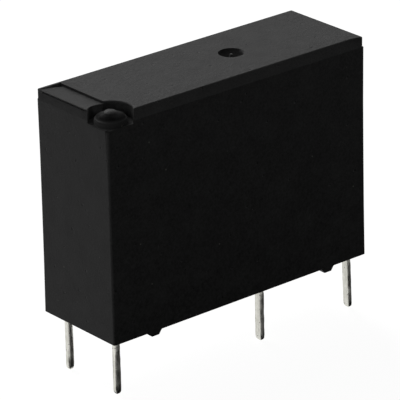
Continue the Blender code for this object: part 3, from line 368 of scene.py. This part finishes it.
def hot_dipped_tin(name):
    """Copper wire dipped in tin: bright grey metal with dull patches, run marks along the pin and dark pores."""
    material, tree, shader = start_material(name, Metallic=1.0)
    place = object_coordinates(tree)
    patches = grain(tree, place, 0.4 * MM)
    drawn = add_node(tree, "ShaderNodeMapping", {"Scale": (1.0, 1.0, 0.12)}, {"Vector": place}).outputs["Vector"]
    runs = grain(tree, drawn, 0.1 * MM)
    tin = tint(tree, blend(tree, spread(tree, patches), spread(tree, runs), 0.45), "b4b3aa", "e8e7e0")
    # Pores are about 0.03 mm; they are drawn at 0.05 mm.
    pores = specks(tree, place, spacing=0.27 * MM, size=0.05 * MM)
    tree.links.new(over(tree, tin, pores, "4c4a42"), shader.inputs["Base Color"])
    tree.links.new(spread(tree, patches, 0.28, 0.46), shader.inputs["Roughness"])
    fine = bump(tree, runs, depth=0.012 * MM, strength=0.5)
    tree.links.new(bump(tree, patches, depth=0.03 * MM, strength=0.6, below=fine), shader.inputs["Normal"])
    return material


def plated_metal(name, dark, light, roughness, grain_size):
    """Sheet or turned metal under a thin plating: even colour with a fine rolled grain."""
    material, tree, shader = start_material(name, Metallic=1.0)
    links = {"Vector": object_coordinates(tree)}
    stretched = add_node(tree, "ShaderNodeMapping", {"Scale": (1.0, 1.0, 0.15)}, links).outputs["Vector"]
    lines = grain(tree, stretched, grain_size)
    tree.links.new(tint(tree, lines, dark, light), shader.inputs["Base Color"])
    tree.links.new(spread(tree, lines, roughness - 0.06, roughness + 0.06), shader.inputs["Roughness"])
    tree.links.new(bump(tree, lines, depth=0.004 * MM, strength=0.5), shader.inputs["Normal"])
    return material


def satin_plastic(name, dark, light):
    """Unfilled moulded thermoplastic: pale, satin, with a faint clouding."""
    scatter = {"Subsurface_Weight": 0.08, "Subsurface_Scale": 0.2 * MM}
    material, tree, shader = start_material(name, Roughness=0.48, **scatter)
    place = object_coordinates(tree)
    clouds = grain(tree, place, 0.8 * MM)
    fine = grain(tree, place, 0.12 * MM)
    tree.links.new(tint(tree, clouds, dark, light), shader.inputs["Base Color"])
    tree.links.new(bump(tree, fine, depth=0.004 * MM, strength=0.5), shader.inputs["Normal"])
    return material


def enamelled_wire(name):
    """Copper wire under clear enamel: deep orange-brown metal with a varnish gloss."""
    varnish = {"Coat_Weight": 0.6, "Coat_Roughness": 0.12}
    material, tree, shader = start_material(name, Metallic=1.0, Roughness=0.35, **varnish)
    tone = grain(tree, object_coordinates(tree), 0.9 * MM)
    tree.links.new(tint(tree, tone, "a8501f", "c8763a"), shader.inputs["Base Color"])
    tree.links.new(bump(tree, tone, depth=0.004 * MM, strength=0.3), shader.inputs["Normal"])
    return material


def white_for_view(name, colour, share):
    """Pale stage surface: a share of its white is what the camera, gloss and glass see, the rest takes shadow."""
    material, tree, shader = start_material(name, Roughness=0.9, Specular_IOR_Level=0.0)
    shader.inputs["Base Color"].default_value = linear(colour)
    shader.inputs["Emission Color"].default_value = WHITE
    links = {0: seen_directly(tree)}
    shown = add_node(tree, "ShaderNodeMath", {1: share}, links, operation="MULTIPLY").outputs[0]
    tree.links.new(shown, shader.inputs["Emission Strength"])
    return material


# Meshes


def piece_from(bm, name, smooth_below=SMOOTH_BELOW):
    """Object at the origin made from the bmesh."""
    bmesh.ops.recalc_face_normals(bm, faces=bm.faces)
    mesh = bpy.data.meshes.new(name)
    bm.to_mesh(mesh)
    bm.free()
    piece = bpy.data.objects.new(name, mesh)
    bpy.context.scene.collection.objects.link(piece)
    if smooth_below:
        mesh.shade_smooth()
        mesh.set_sharp_from_angle(angle=smooth_below)
        flat_faces = piece.modifiers.new("flat_faces", "WEIGHTED_NORMAL")
        flat_faces.keep_sharp = True
    return piece


def merged_copy(node):
    """Bmesh of a CAD node with its loose triangles joined and its flat faces whole."""
    bm = bmesh.new()
    bm.from_mesh(frame["nodes"][node].data)
    bmesh.ops.remove_doubles(bm, verts=bm.verts, dist=WELD)
    bmesh.ops.dissolve_limit(bm, angle_limit=FLAT_WITHIN, verts=bm.verts, edges=bm.edges)
    return bm


def cut(bm, place, normal, within=None):
    """Cut the mesh along a plane, all of it or the faces whose middle is where the test says."""
    if within is None:
        geometry = bm.verts[:] + bm.edges[:] + bm.faces[:]
    else:
        faces = [face for face in bm.faces if within(face.calc_center_median())]
        edges = {edge for face in faces for edge in face.edges}
        verts = {vert for face in faces for vert in face.verts}
        geometry = [*verts, *edges, *faces]
    bmesh.ops.bisect_plane(bm, geom=geometry, dist=NEAR / 4, plane_co=place, plane_no=normal)


def everywhere(place):
    """Test that every place passes."""
    return True


def sharp_edges(bm, within=everywhere):
    """Sharp edges whose middle is where the test says."""
    bm.normal_update()
    chosen = []
    for edge in bm.edges:
        if edge.is_manifold and edge.calc_face_angle() > SHARP_ABOVE:
            if within((edge.verts[0].co + edge.verts[1].co) / 2):
                chosen.append(edge)
    return chosen


def round_edges(bm, edges, width):
    """Turn sharp edges into narrow rounds."""
    bmesh.ops.bevel(
        bm,
        geom=edges,
        offset=width,
        offset_type="OFFSET",
        affect="EDGES",
        segments=2,
        profile=0.5,
        material=-1,
        clamp_overlap=False,
    )


def body_of(node):
    """Name of the body that a CAD node rides on."""
    return frame["nodes"][node].parent.name.split(":", 1)[1]


def dress(piece, material, body, node):
    """Give a finished piece its material and body, and hide the CAD node that it stands for."""
    piece.data.materials.clear()
    piece.data.materials.append(material)
    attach(piece, body)
    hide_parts(node)


def finish_node(node, name, material, slot, width=0.0, smooth_below=SMOOTH_BELOW):
    """Replace a CAD node by its merged copy with rounded edges."""
    bm = merged_copy(node)
    if width:
        round_edges(bm, sharp_edges(bm), width)
    dress(piece_from(bm, name, smooth_below), material, body_of(node), node)


# Settings


class RelayFinishes(bpy.types.PropertyGroup):
    """Colours and wear that can be changed."""

    case_dark: StringProperty(
        name="Case, darkest", description="sRGB hex of the plastic in its pits", default="1f1f1f"
    )
    case_light: StringProperty(
        name="Case, lightest", description="sRGB hex of the plastic on its ridges", default="454545"
    )
    case_roughness: FloatProperty(
        name="Case roughness", description="Mean roughness of the moulded surface", default=0.55, min=0.1, max=1.0
    )
    draft: FloatProperty(
        name="Draft",
        description="How far each side of the case leans in at its top",
        default=0.035 * MM,
        unit="LENGTH",
    )
    rim_round: FloatProperty(
        name="Rim round", description="Rounding of the case's lower rim and feet", default=0.025 * MM, unit="LENGTH"
    )
    resin_rise: FloatProperty(
        name="Resin rise",
        description="How far the resin is drawn up at walls and pins",
        default=0.13 * MM,
        unit="LENGTH",
    )
    resin_reach: FloatProperty(
        name="Resin reach", description="Over what distance the resin is drawn up", default=0.12 * MM, unit="LENGTH"
    )
    tin_unevenness: FloatProperty(
        name="Tin unevenness", description="Height of the waves in the tin", default=0.014 * MM, unit="LENGTH"
    )
    wire_pitch: FloatProperty(
        name="Wire pitch", description="Distance between turns", default=0.13 * MM, unit="LENGTH"
    )


class RelayStage(bpy.types.PropertyGroup):
    """Camera and light."""

    azimuth: FloatProperty(
        name="Azimuth",
        description="Turn of the view about the vertical",
        default=math.radians(-39.41),
        subtype="ANGLE",
    )
    elevation: FloatProperty(
        name="Elevation",
        description="Height of the view above level",
        default=math.radians(22.882),
        subtype="ANGLE",
    )
    roll: FloatProperty(
        name="Roll",
        description="Tilt of the picture about the line of sight",
        default=math.radians(-1.25),
        subtype="ANGLE",
    )
    distance: FloatProperty(
        name="Distance",
        description="From the camera to the point it looks at",
        default=217.549 * MM,
        unit="LENGTH",
    )
    aim: FloatVectorProperty(
        name="Aim",
        description="Point in the middle of the picture",
        default=(-0.269 * MM, 0.242 * MM, 9.356 * MM),
        subtype="TRANSLATION",
        precision=5,
    )
    lens: FloatProperty(name="Lens", description="Focal length in millimetres", default=316.548)
    sky: FloatProperty(name="Sky", description="Strength of the light from all round", default=0.06, min=0.0)
    left_power: FloatProperty(
        name="Left lamp", description="Power of the lamp at the coil end", default=0.21, unit="POWER"
    )
    back_power: FloatProperty(
        name="Back lamp", description="Power of the lamp behind and above", default=1.54, unit="POWER"
    )
    floor_colour: StringProperty(
        name="Floor", description="sRGB hex of the floor in the lamps' light", default="8c8c8c"
    )
    floor_share: FloatProperty(
        name="Floor white",
        description="Share of the floor's white that no shadow takes away",
        default=0.95,
        min=0.0,
        max=1.0,
    )


# Pieces


class RELAY_OT_case(bpy.types.Operator):
    """Moulded case with its spark-eroded texture and softened rim"""

    bl_idname = "relay.case"
    bl_label = "Case"

    def execute(self, context):
        finishes = context.scene.relay_finishes
        low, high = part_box("case")
        bm = merged_copy("case")
        rim = low.z + FOOT_HEIGHT
        outside = Vector((high.x - CASE_WALL / 2, high.y - CASE_WALL / 2))

        def on_rim(place):
            return place.z < rim + NEAR and (abs(place.x) > outside.x or abs(place.y) > outside.y)

        round_edges(bm, sharp_edges(bm, on_rim), finishes.rim_round)
        self.upright_corner(bm, low, high)
        self.lift_groove(bm, low, high)
        self.lean_in(bm, low, high, finishes.draft)
        colours = (finishes.case_dark, finishes.case_light)
        plastic = moulded_pbt("moulded_pbt", *colours, finishes.case_roughness, case_corners=(low, high))
        dress(piece_from(bm, "moulded_case"), plastic, "housing", "case")
        return {"FINISHED"}

    def upright_corner(self, bm, low, high):
        """The front's upper band leans back, but not at its corner with the contact end."""
        bottom = high.z - BAND_HEIGHT
        for step in range(BAND_CORNER_STEPS):
            place = (high.x - BAND_CORNER * (1 - step / BAND_CORNER_STEPS), 0, 0)
            cut(bm, place, AXES[0], lambda middle: middle.z > bottom)
        for vert in bm.verts:
            along = (vert.co.x - high.x + BAND_CORNER) / BAND_CORNER
            up = (vert.co.z - bottom) / BAND_HEIGHT
            if along > 0 and up > 0 and vert.co.y < low.y + BAND_CORNER / 2:
                vert.co.y -= BAND_CORNER_OUT * min(along, 1.0) ** 2 * up

    def lift_groove(self, bm, low, high):
        """The groove under the end strip runs a little higher at its outer end."""
        top, bottom = (high.z - depth for depth in GROOVE_BELOW_TOP)
        for vert in bm.verts:
            if bottom < vert.co.z < top and vert.co.x < low.x + GROOVE_REACH:
                vert.co.z += GROOVE_LIFT

    def lean_in(self, bm, low, high, draft):
        """Draft of the case's upper half, which lets it leave its mould."""
        for vert in bm.verts:
            share = (vert.co.z - low.z) / (high.z - low.z)
            lean = draft * max(0.0, min(1.0, (share - DRAFT_START) / DRAFT_SPAN))
            vert.co.x *= 1.0 - lean / high.x
            vert.co.y *= 1.0 - lean / high.y


class RELAY_OT_base(bpy.types.Operator):
    """Base plate with the wall between coil and contacts"""

    bl_idname = "relay.base"
    bl_label = "Base"

    def execute(self, context):
        plastic = moulded_pbt("base_pbt", "151515", "303030", 0.5)
        finish_node("base", "base_moulding", plastic, "base_plastic", BASE_ROUND)
        return {"FINISHED"}


class RELAY_OT_resin(bpy.types.Operator):
    """Cast resin under the base, drawn up at the walls and pins"""

    bl_idname = "relay.resin"
    bl_label = "Sealing resin"

    def execute(self, context):
        finishes = context.scene.relay_finishes
        low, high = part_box("sealing_resin")
        holes = [self.hole(node, low.z) for node in PINS]
        bm = merged_copy("sealing_resin")
        steps = [share * finishes.resin_reach for share in RESIN_CUTS]
        for axis, normal in enumerate(AXES):
            places = [low[axis] + step for step in steps[1:]] + [high[axis] - step for step in steps[1:]]
            for near, far in holes:
                places += [near[axis] - step for step in steps] + [far[axis] + step for step in steps]
            for place in sorted(set(places)):
                if low[axis] < place < high[axis]:
                    cut(bm, normal * place, normal)
        for vert in bm.verts:
            gap = min([self.to_wall(vert.co, low, high)] + [self.to_hole(vert.co, hole) for hole in holes])
            if vert.co.z < low.z + NEAR:
                fall = (max(gap, 0.0) / finishes.resin_reach) ** RESIN_CURVE
                vert.co.z -= finishes.resin_rise * math.exp(-fall)
        for vert in bm.verts:
            self.creep(vert, low, high, holes)
        dress(piece_from(bm, "resin_layer"), cast_resin("cast_epoxy"), "housing", "sealing_resin")
        return {"FINISHED"}

    def hole(self, node, level):
        """Corners of the hole round a pin, from the pin's section at the resin."""
        section = [v.co for v in frame["nodes"][node].data.vertices if v.co.z < level]
        xs, ys = [co.x for co in section], [co.y for co in section]
        return (min(xs) - PIN_GAP, min(ys) - PIN_GAP), (max(xs) + PIN_GAP, max(ys) + PIN_GAP)

    def to_wall(self, place, low, high):
        """Distance from a place to the nearest wall."""
        return min(place.x - low.x, high.x - place.x, place.y - low.y, high.y - place.y)

    def to_hole(self, place, hole):
        """Distance from a place to a hole."""
        near, far = hole
        across = [max(near[axis] - place[axis], place[axis] - far[axis], 0.0) for axis in (0, 1)]
        return math.hypot(*across)

    def creep(self, vert, low, high, holes):
        """Move the resin's sides towards the wall and the pins."""
        for axis in (0, 1):
            if vert.co[axis] < low[axis] + NEAR:
                vert.co[axis] -= WALL_CREEP
            elif vert.co[axis] > high[axis] - NEAR:
                vert.co[axis] += WALL_CREEP
        for near, far in holes:
            if self.to_hole(vert.co, (near, far)) < NEAR:
                for axis in (0, 1):
                    if abs(vert.co[axis] - near[axis]) < NEAR:
                        vert.co[axis] += PIN_CREEP
                    elif abs(vert.co[axis] - far[axis]) < NEAR:
                        vert.co[axis] -= PIN_CREEP


class RELAY_OT_terminals(bpy.types.Operator):
    """Pins, posts and sheet terminals in tinned copper"""

    bl_idname = "relay.terminals"
    bl_label = "Terminals"

    def execute(self, context):
        unevenness = context.scene.relay_finishes.tin_unevenness
        tin = hot_dipped_tin("hot_dipped_tin")
        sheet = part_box("base")[0].z + SHEET_START
        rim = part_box("case")[0].z
        for node, (name, thickness, lean) in PINS.items():
            bm = merged_copy(node)
            edges = sharp_edges(bm, lambda place: place.z > sheet)
            round_edges(bm, [edge for edge in edges if edge.calc_length() > SHEET_EDGE], TERMINAL_ROUND)
            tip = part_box(node)[0].z
            level = tip + FIRST_SLICE
            while level < rim:
                cut(bm, (0, 0, level), (0, 0, 1))
                level += SLICE
            self.soften(bm, rim, thickness)
            self.point(bm, tip)
            bm.normal_update()
            for vert in bm.verts:
                if vert.co.z < rim:
                    swell = noise.noise(vert.co / TIN_WAVE) * unevenness
                    vert.co += Vector((vert.normal.x, vert.normal.y, 0.0)) * swell
                    vert.co.x += lean * (rim - vert.co.z) / (rim - tip)
            dress(piece_from(bm, name, PIN_SMOOTH_BELOW), tin, body_of(node), node)
        return {"FINISHED"}

    def soften(self, bm, rim, thickness):
        """Round the upright edges of a pin below the rim, as its tin does, and add that tin's thickness."""
        shaft = [vert.co for vert in bm.verts if vert.co.z < rim]
        ends = [(min(co[axis] for co in shaft), max(co[axis] for co in shaft)) for axis in (0, 1)]
        middle = [(near + far) / 2 for near, far in ends]
        half = [(far - near) / 2 for near, far in ends]
        radii = [share * side for share, side in zip(PIN_ROUND, half)]
        for axis, normal in enumerate(AXES):
            for share in PIN_ROUND_CUTS:
                for side in (-1, 1):
                    place = middle[axis] + side * (half[axis] - share * radii[axis])
                    cut(bm, normal * place, normal, lambda centre: centre.z < rim)
        for vert in bm.verts:
            if vert.co.z < rim:
                offset = [vert.co[axis] - middle[axis] for axis in (0, 1)]
                beyond = [(abs(offset[axis]) - half[axis]) / radii[axis] + 1.0 for axis in (0, 1)]
                out = math.hypot(*beyond)
                if min(beyond) > 0 and out > 1.0:
                    for axis in (0, 1):
                        reach = half[axis] + (beyond[axis] / out - 1.0) * radii[axis]
                        offset[axis] = math.copysign(reach, offset[axis])
                thick = thickness * min(1.0, (rim - vert.co.z) / TIN_START)
                for axis in (0, 1):
                    vert.co[axis] = middle[axis] + offset[axis] * (1.0 + thick / half[axis])
        bmesh.ops.dissolve_degenerate(bm, dist=NEAR / 2, edges=bm.edges)

    def point(self, bm, tip):
        """Draw a pin's end in to a blunt round tip."""
        end = [vert.co for vert in bm.verts if vert.co.z < tip + TIP_HEIGHT]
        middle = [(min(co[axis] for co in end) + max(co[axis] for co in end)) / 2 for axis in (0, 1)]
        for place in end:
            below = 1.0 - (place.z - tip) / TIP_HEIGHT
            width = 1.0 - TIP_TAPER * (1.0 - math.sqrt(1.0 - min(1.0, below * below)))
            for axis in (0, 1):
                place[axis] = middle[axis] + (place[axis] - middle[axis]) * width


class RELAY_OT_coil(bpy.types.Operator):
    """Bobbin, wound wire and its two led-out ends"""

    bl_idname = "relay.coil"
    bl_label = "Coil"

    def execute(self, context):
        nylon = satin_plastic("bobbin_nylon", "cfc8b2", "e2dccb")
        finish_node("bobbin", "bobbin_moulding", nylon, "bobbin_plastic", MOULDED_ROUND)
        wire = enamelled_wire("enamelled_wire")
        for side in ("front", "rear"):
            lead = (f"coil_lead_{side}", f"lead_wire_{side}")
            finish_node(*lead, wire, "enamelled_copper", smooth_below=LEAD_SMOOTH_BELOW)
        self.turns(wire, context.scene.relay_finishes.wire_pitch)
        return {"FINISHED"}

    def turns(self, wire, pitch):
        """Turns of wire as one closed shell, round outside and plain inside."""
        low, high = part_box("winding")
        shank = self.shank(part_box("yoke")[1].z)
        middle = (low.x + high.x) / 2
        radius = (high.y - low.y) / 2
        reach = (high.x - low.x) / 2 - radius
        inner_radius = (shank[1] - shank[0]) / 2 + TUBE_WALL
        inner_reach = (shank[3] - shank[2]) / 2 + TUBE_WALL - inner_radius
        count = round((high.z - low.z) / pitch)
        step = (high.z - low.z) / count
        # The real wire of 0.06 mm would not show, so the turns are drawn twice as thick, each one at five levels.
        levels = [(0.0, step / 2)]
        for turn in range(count):
            for share in TURN_LEVELS:
                bulge = math.sqrt(max(0.0, 1.0 - (2 * share - 1) ** 2))
                levels.append(((turn + share) * step, (1.0 - bulge) * step / 2))
        bm = bmesh.new()
        bmesh.ops.create_circle(bm, segments=TURN_STEPS, radius=1.0)
        start = {vert: vert.co.copy() for vert in bm.verts}

        def place(verts, height, radius, reach):
            for vert, unit in verts.items():
                shift = reach * max(-1.0, min(1.0, STRAIGHT_SIDE * unit.x))
                vert.co = Vector((middle + radius * unit.x + shift, radius * unit.y, low.z + height))

        def grow(verts, height, radius, reach):
            linked = {edge for vert in verts for edge in vert.link_edges}
            edges = [edge for edge in linked if all(vert in verts for vert in edge.verts)]
            made = bmesh.ops.extrude_edge_only(bm, edges=edges)["geom"]
            after = {}
            for vert in [item for item in made if isinstance(item, bmesh.types.BMVert)]:
                for edge in vert.link_edges:
                    other = edge.other_vert(vert)
                    if other in verts:
                        after[vert] = verts[other]
            place(after, height, radius, reach)
            return after

        place(start, 0.0, radius - levels[0][1], reach)
        ring = start
        for height, dip in levels[1:]:
            ring = grow(ring, height, radius - dip, reach)
        ring = grow(ring, high.z - low.z, inner_radius, inner_reach)
        ring = grow(ring, 0.0, inner_radius, inner_reach)
        grow(ring, 0.0, radius - levels[0][1], reach)
        bmesh.ops.remove_doubles(bm, verts=bm.verts, dist=NEAR / 4)
        piece = piece_from(bm, "wound_wire", TURN_SMOOTH_BELOW)
        dress(piece, wire, body_of("winding"), "winding")

    def shank(self, level):
        """Lowest and highest Y and X of the core's shank, which is what lies under the given level."""
        section = [v.co for v in frame["nodes"]["core"].data.vertices if v.co.z < level + NEAR]
        ys, xs = [co.y for co in section], [co.x for co in section]
        return min(ys), max(ys), min(xs), max(xs)


class RELAY_OT_magnet(bpy.types.Operator):
    """Core, yoke, armature and the spring that holds it"""

    bl_idname = "relay.magnet"
    bl_label = "Magnet"

    def execute(self, context):
        nickel = plated_metal("nickel_plated_iron", "b2b0a8", "c6c4bd", roughness=0.34, grain_size=0.25 * MM)
        for node in ("core", "yoke", "armature"):
            finish_node(node, f"iron_{node}", nickel, "plated_iron", IRON_ROUND)
        bronze = plated_metal("rolled_bronze", "a5773f", "c2945a", roughness=0.3, grain_size=0.18 * MM)
        finish_node("hinge_spring", "hinge_leaf", bronze, "spring_bronze", SHEET_ROUND)
        return {"FINISHED"}


class RELAY_OT_contacts(bpy.types.Operator):
    """Contact leaf, its rivets, the silver contacts and the card that pushes the leaf"""

    bl_idname = "relay.contacts"
    bl_label = "Contacts and card"

    def execute(self, context):
        bronze = plated_metal("spring_bronze", "a9753a", "c99a5f", roughness=0.28, grain_size=0.16 * MM)
        finish_node("moving_spring", "contact_leaf", bronze, "spring_bronze", SHEET_ROUND)
        for side in ("front", "rear"):
            finish_node(f"spring_rivet_{side}", f"leaf_rivet_{side}", bronze, "spring_bronze", SHEET_ROUND)
        silver = plated_metal("fine_silver", "dedbd2", "eeece6", roughness=0.24, grain_size=0.12 * MM)
        for side in ("moving", "fixed"):
            finish_node(f"{side}_contact", f"silver_contact_{side}", silver, "contact_silver", SHEET_ROUND)
        nylon = satin_plastic("card_nylon", "c9c8bd", "dedcd2")
        finish_node("card", "push_card", nylon, "card_plastic", MOULDED_ROUND)
        return {"FINISHED"}


class RELAY_OT_stage(bpy.types.Operator):
    """Pale floor, soft studio light and the photograph's camera"""

    bl_idname = "relay.stage"
    bl_label = "Stage"

    def execute(self, context):
        stage = context.scene.relay_stage
        self.floor(stage)
        self.black_cards()
        self.sky(context, stage.sky)
        self.lamp("left_softbox", power=stage.left_power, **LEFT_LAMP)
        self.lamp("back_softbox", power=stage.back_power, **BACK_LAMP)
        self.camera(stage)
        context.scene.view_settings.view_transform = "Standard"
        return {"FINISHED"}

    def floor(self, stage):
        """Floor that shows white and keeps the relay's shadow."""
        bm = bmesh.new()
        bmesh.ops.create_grid(bm, x_segments=1, y_segments=1, size=FLOOR_HALF)
        floor = piece_from(bm, "floor", smooth_below=None)
        floor.data.materials.append(white_for_view("pale_floor", stage.floor_colour, stage.floor_share))

    def black_cards(self):
        """Black cards on the floor that only gloss sees, as painted dark reflections: they darken the front and the
        pins' front faces.
        """
        low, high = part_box("coil_terminal_front")
        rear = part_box("coil_terminal_rear")[0]
        # Near and far corner of each card, and how much it glows as a painted reflection of light
        cards = (
            ((low.x - 4 * MM, low.y - 9 * MM), (high.x + 60 * MM, low.y), 0.0),
            ((low.x, low.y), (high.x + 4.5 * MM, rear.y), 0.0),
            ((low.x - 1.8 * MM, rear.y - 1.6 * MM), (low.x, rear.y), 0.0),
            ((low.x - 4 * MM, low.y - 26 * MM), (high.x + 90 * MM, low.y - 9 * MM), 0.12),
            ((low.x - 4 * MM, low.y - 90 * MM), (high.x + 90 * MM, low.y - 26 * MM), 0.0),
        )
        for index, (near, far, glow) in enumerate(cards):
            name = f"black_card_{index}"
            black, _, shader = start_material(name, Roughness=1.0, Specular_IOR_Level=0.0)
            shader.inputs["Base Color"].default_value = linear("050505")
            shader.inputs["Emission Color"].default_value = WHITE
            shader.inputs["Emission Strength"].default_value = glow
            bm = bmesh.new()
            corners = (near, (far[0], near[1]), far, (near[0], far[1]))
            bmesh.ops.contextual_create(bm, geom=[bm.verts.new((*corner, CARD_HEIGHT)) for corner in corners])
            card = piece_from(bm, name, smooth_below=None)
            card.data.materials.append(black)
            card.visible_camera = card.visible_diffuse = card.visible_shadow = False

    def sky(self, context, strength):
        """Even light from all round, white where the camera, gloss and glass see it."""
        world = bpy.data.worlds.new("studio")
        world.use_nodes = True
        tree = world.node_tree
        background = tree.nodes["Background"]
        shown = ramp(tree, seen_directly(tree), 0.0, 1.0, strength, 1.0)
        tree.links.new(shown, background.inputs["Strength"])
        background.inputs["Color"].default_value = WHITE
        context.scene.world = world

    def lamp(self, name, place, size, power):
        """Square soft lamp that faces the relay."""
        light = bpy.data.lights.new(name, "AREA")
        light.shape = "SQUARE"
        light.size = size
        light.energy = power
        holder = bpy.data.objects.new(name, light)
        holder.location = place
        holder.rotation_euler = (Vector(place) - LAMP_AIM).to_track_quat("Z", "Y").to_euler()
        bpy.context.scene.collection.objects.link(holder)

    def camera(self, stage):
        """Camera that looks at the aim from the photograph's angle."""
        camera = bpy.data.cameras.new("camera")
        camera.lens = stage.lens
        camera.sensor_width = SENSOR_WIDTH
        camera.clip_start = CLIP_START
        holder = bpy.data.objects.new("camera", camera)
        bpy.context.scene.collection.objects.link(holder)
        around, above = stage.azimuth, stage.elevation
        level = math.cos(above)
        back = Vector((math.sin(around) * level, -math.cos(around) * level, math.sin(above)))
        right = Matrix.Rotation(stage.roll, 3, back) @ Vector((math.cos(around), math.sin(around), 0.0))
        matrix = Matrix((right, back.cross(right), back)).transposed().to_4x4()
        matrix.translation = Vector(stage.aim) + back * stage.distance
        holder.matrix_world = matrix
        bpy.context.scene.camera = holder


class RELAY_PT_panel(bpy.types.Panel):
    """Lists the relay's pieces and settings"""

    bl_label = "Relay"
    bl_idname = "RELAY_PT_panel"
    bl_space_type = "VIEW_3D"
    bl_region_type = "UI"
    bl_category = "Relay"

    def draw(self, context):
        for operator in PIECES:
            self.layout.operator(operator.bl_idname)
        for settings in (context.scene.relay_finishes, context.scene.relay_stage):
            box = self.layout.box()
            for key in settings.__annotations__:
                box.prop(settings, key)


PIECES = (
    RELAY_OT_case,
    RELAY_OT_base,
    RELAY_OT_resin,
    RELAY_OT_terminals,
    RELAY_OT_coil,
    RELAY_OT_magnet,
    RELAY_OT_contacts,
    RELAY_OT_stage,
)
CLASSES = (RelayFinishes, RelayStage, *PIECES, RELAY_PT_panel)


def register():
    """Make the operators, settings and panel known to Blender."""
    for item in CLASSES:
        bpy.utils.register_class(item)
    bpy.types.Scene.relay_finishes = PointerProperty(type=RelayFinishes)
    bpy.types.Scene.relay_stage = PointerProperty(type=RelayStage)


def unregister():
    """Take them away again, in reverse."""
    del bpy.types.Scene.relay_stage
    del bpy.types.Scene.relay_finishes
    for item in reversed(CLASSES):
        bpy.utils.unregister_class(item)


def main():
    """Build every piece in order."""
    register()
    for operator in PIECES:
        group, name = operator.bl_idname.split(".")
        getattr(getattr(bpy.ops, group), name)()


if __name__ == "__main__":
    main()
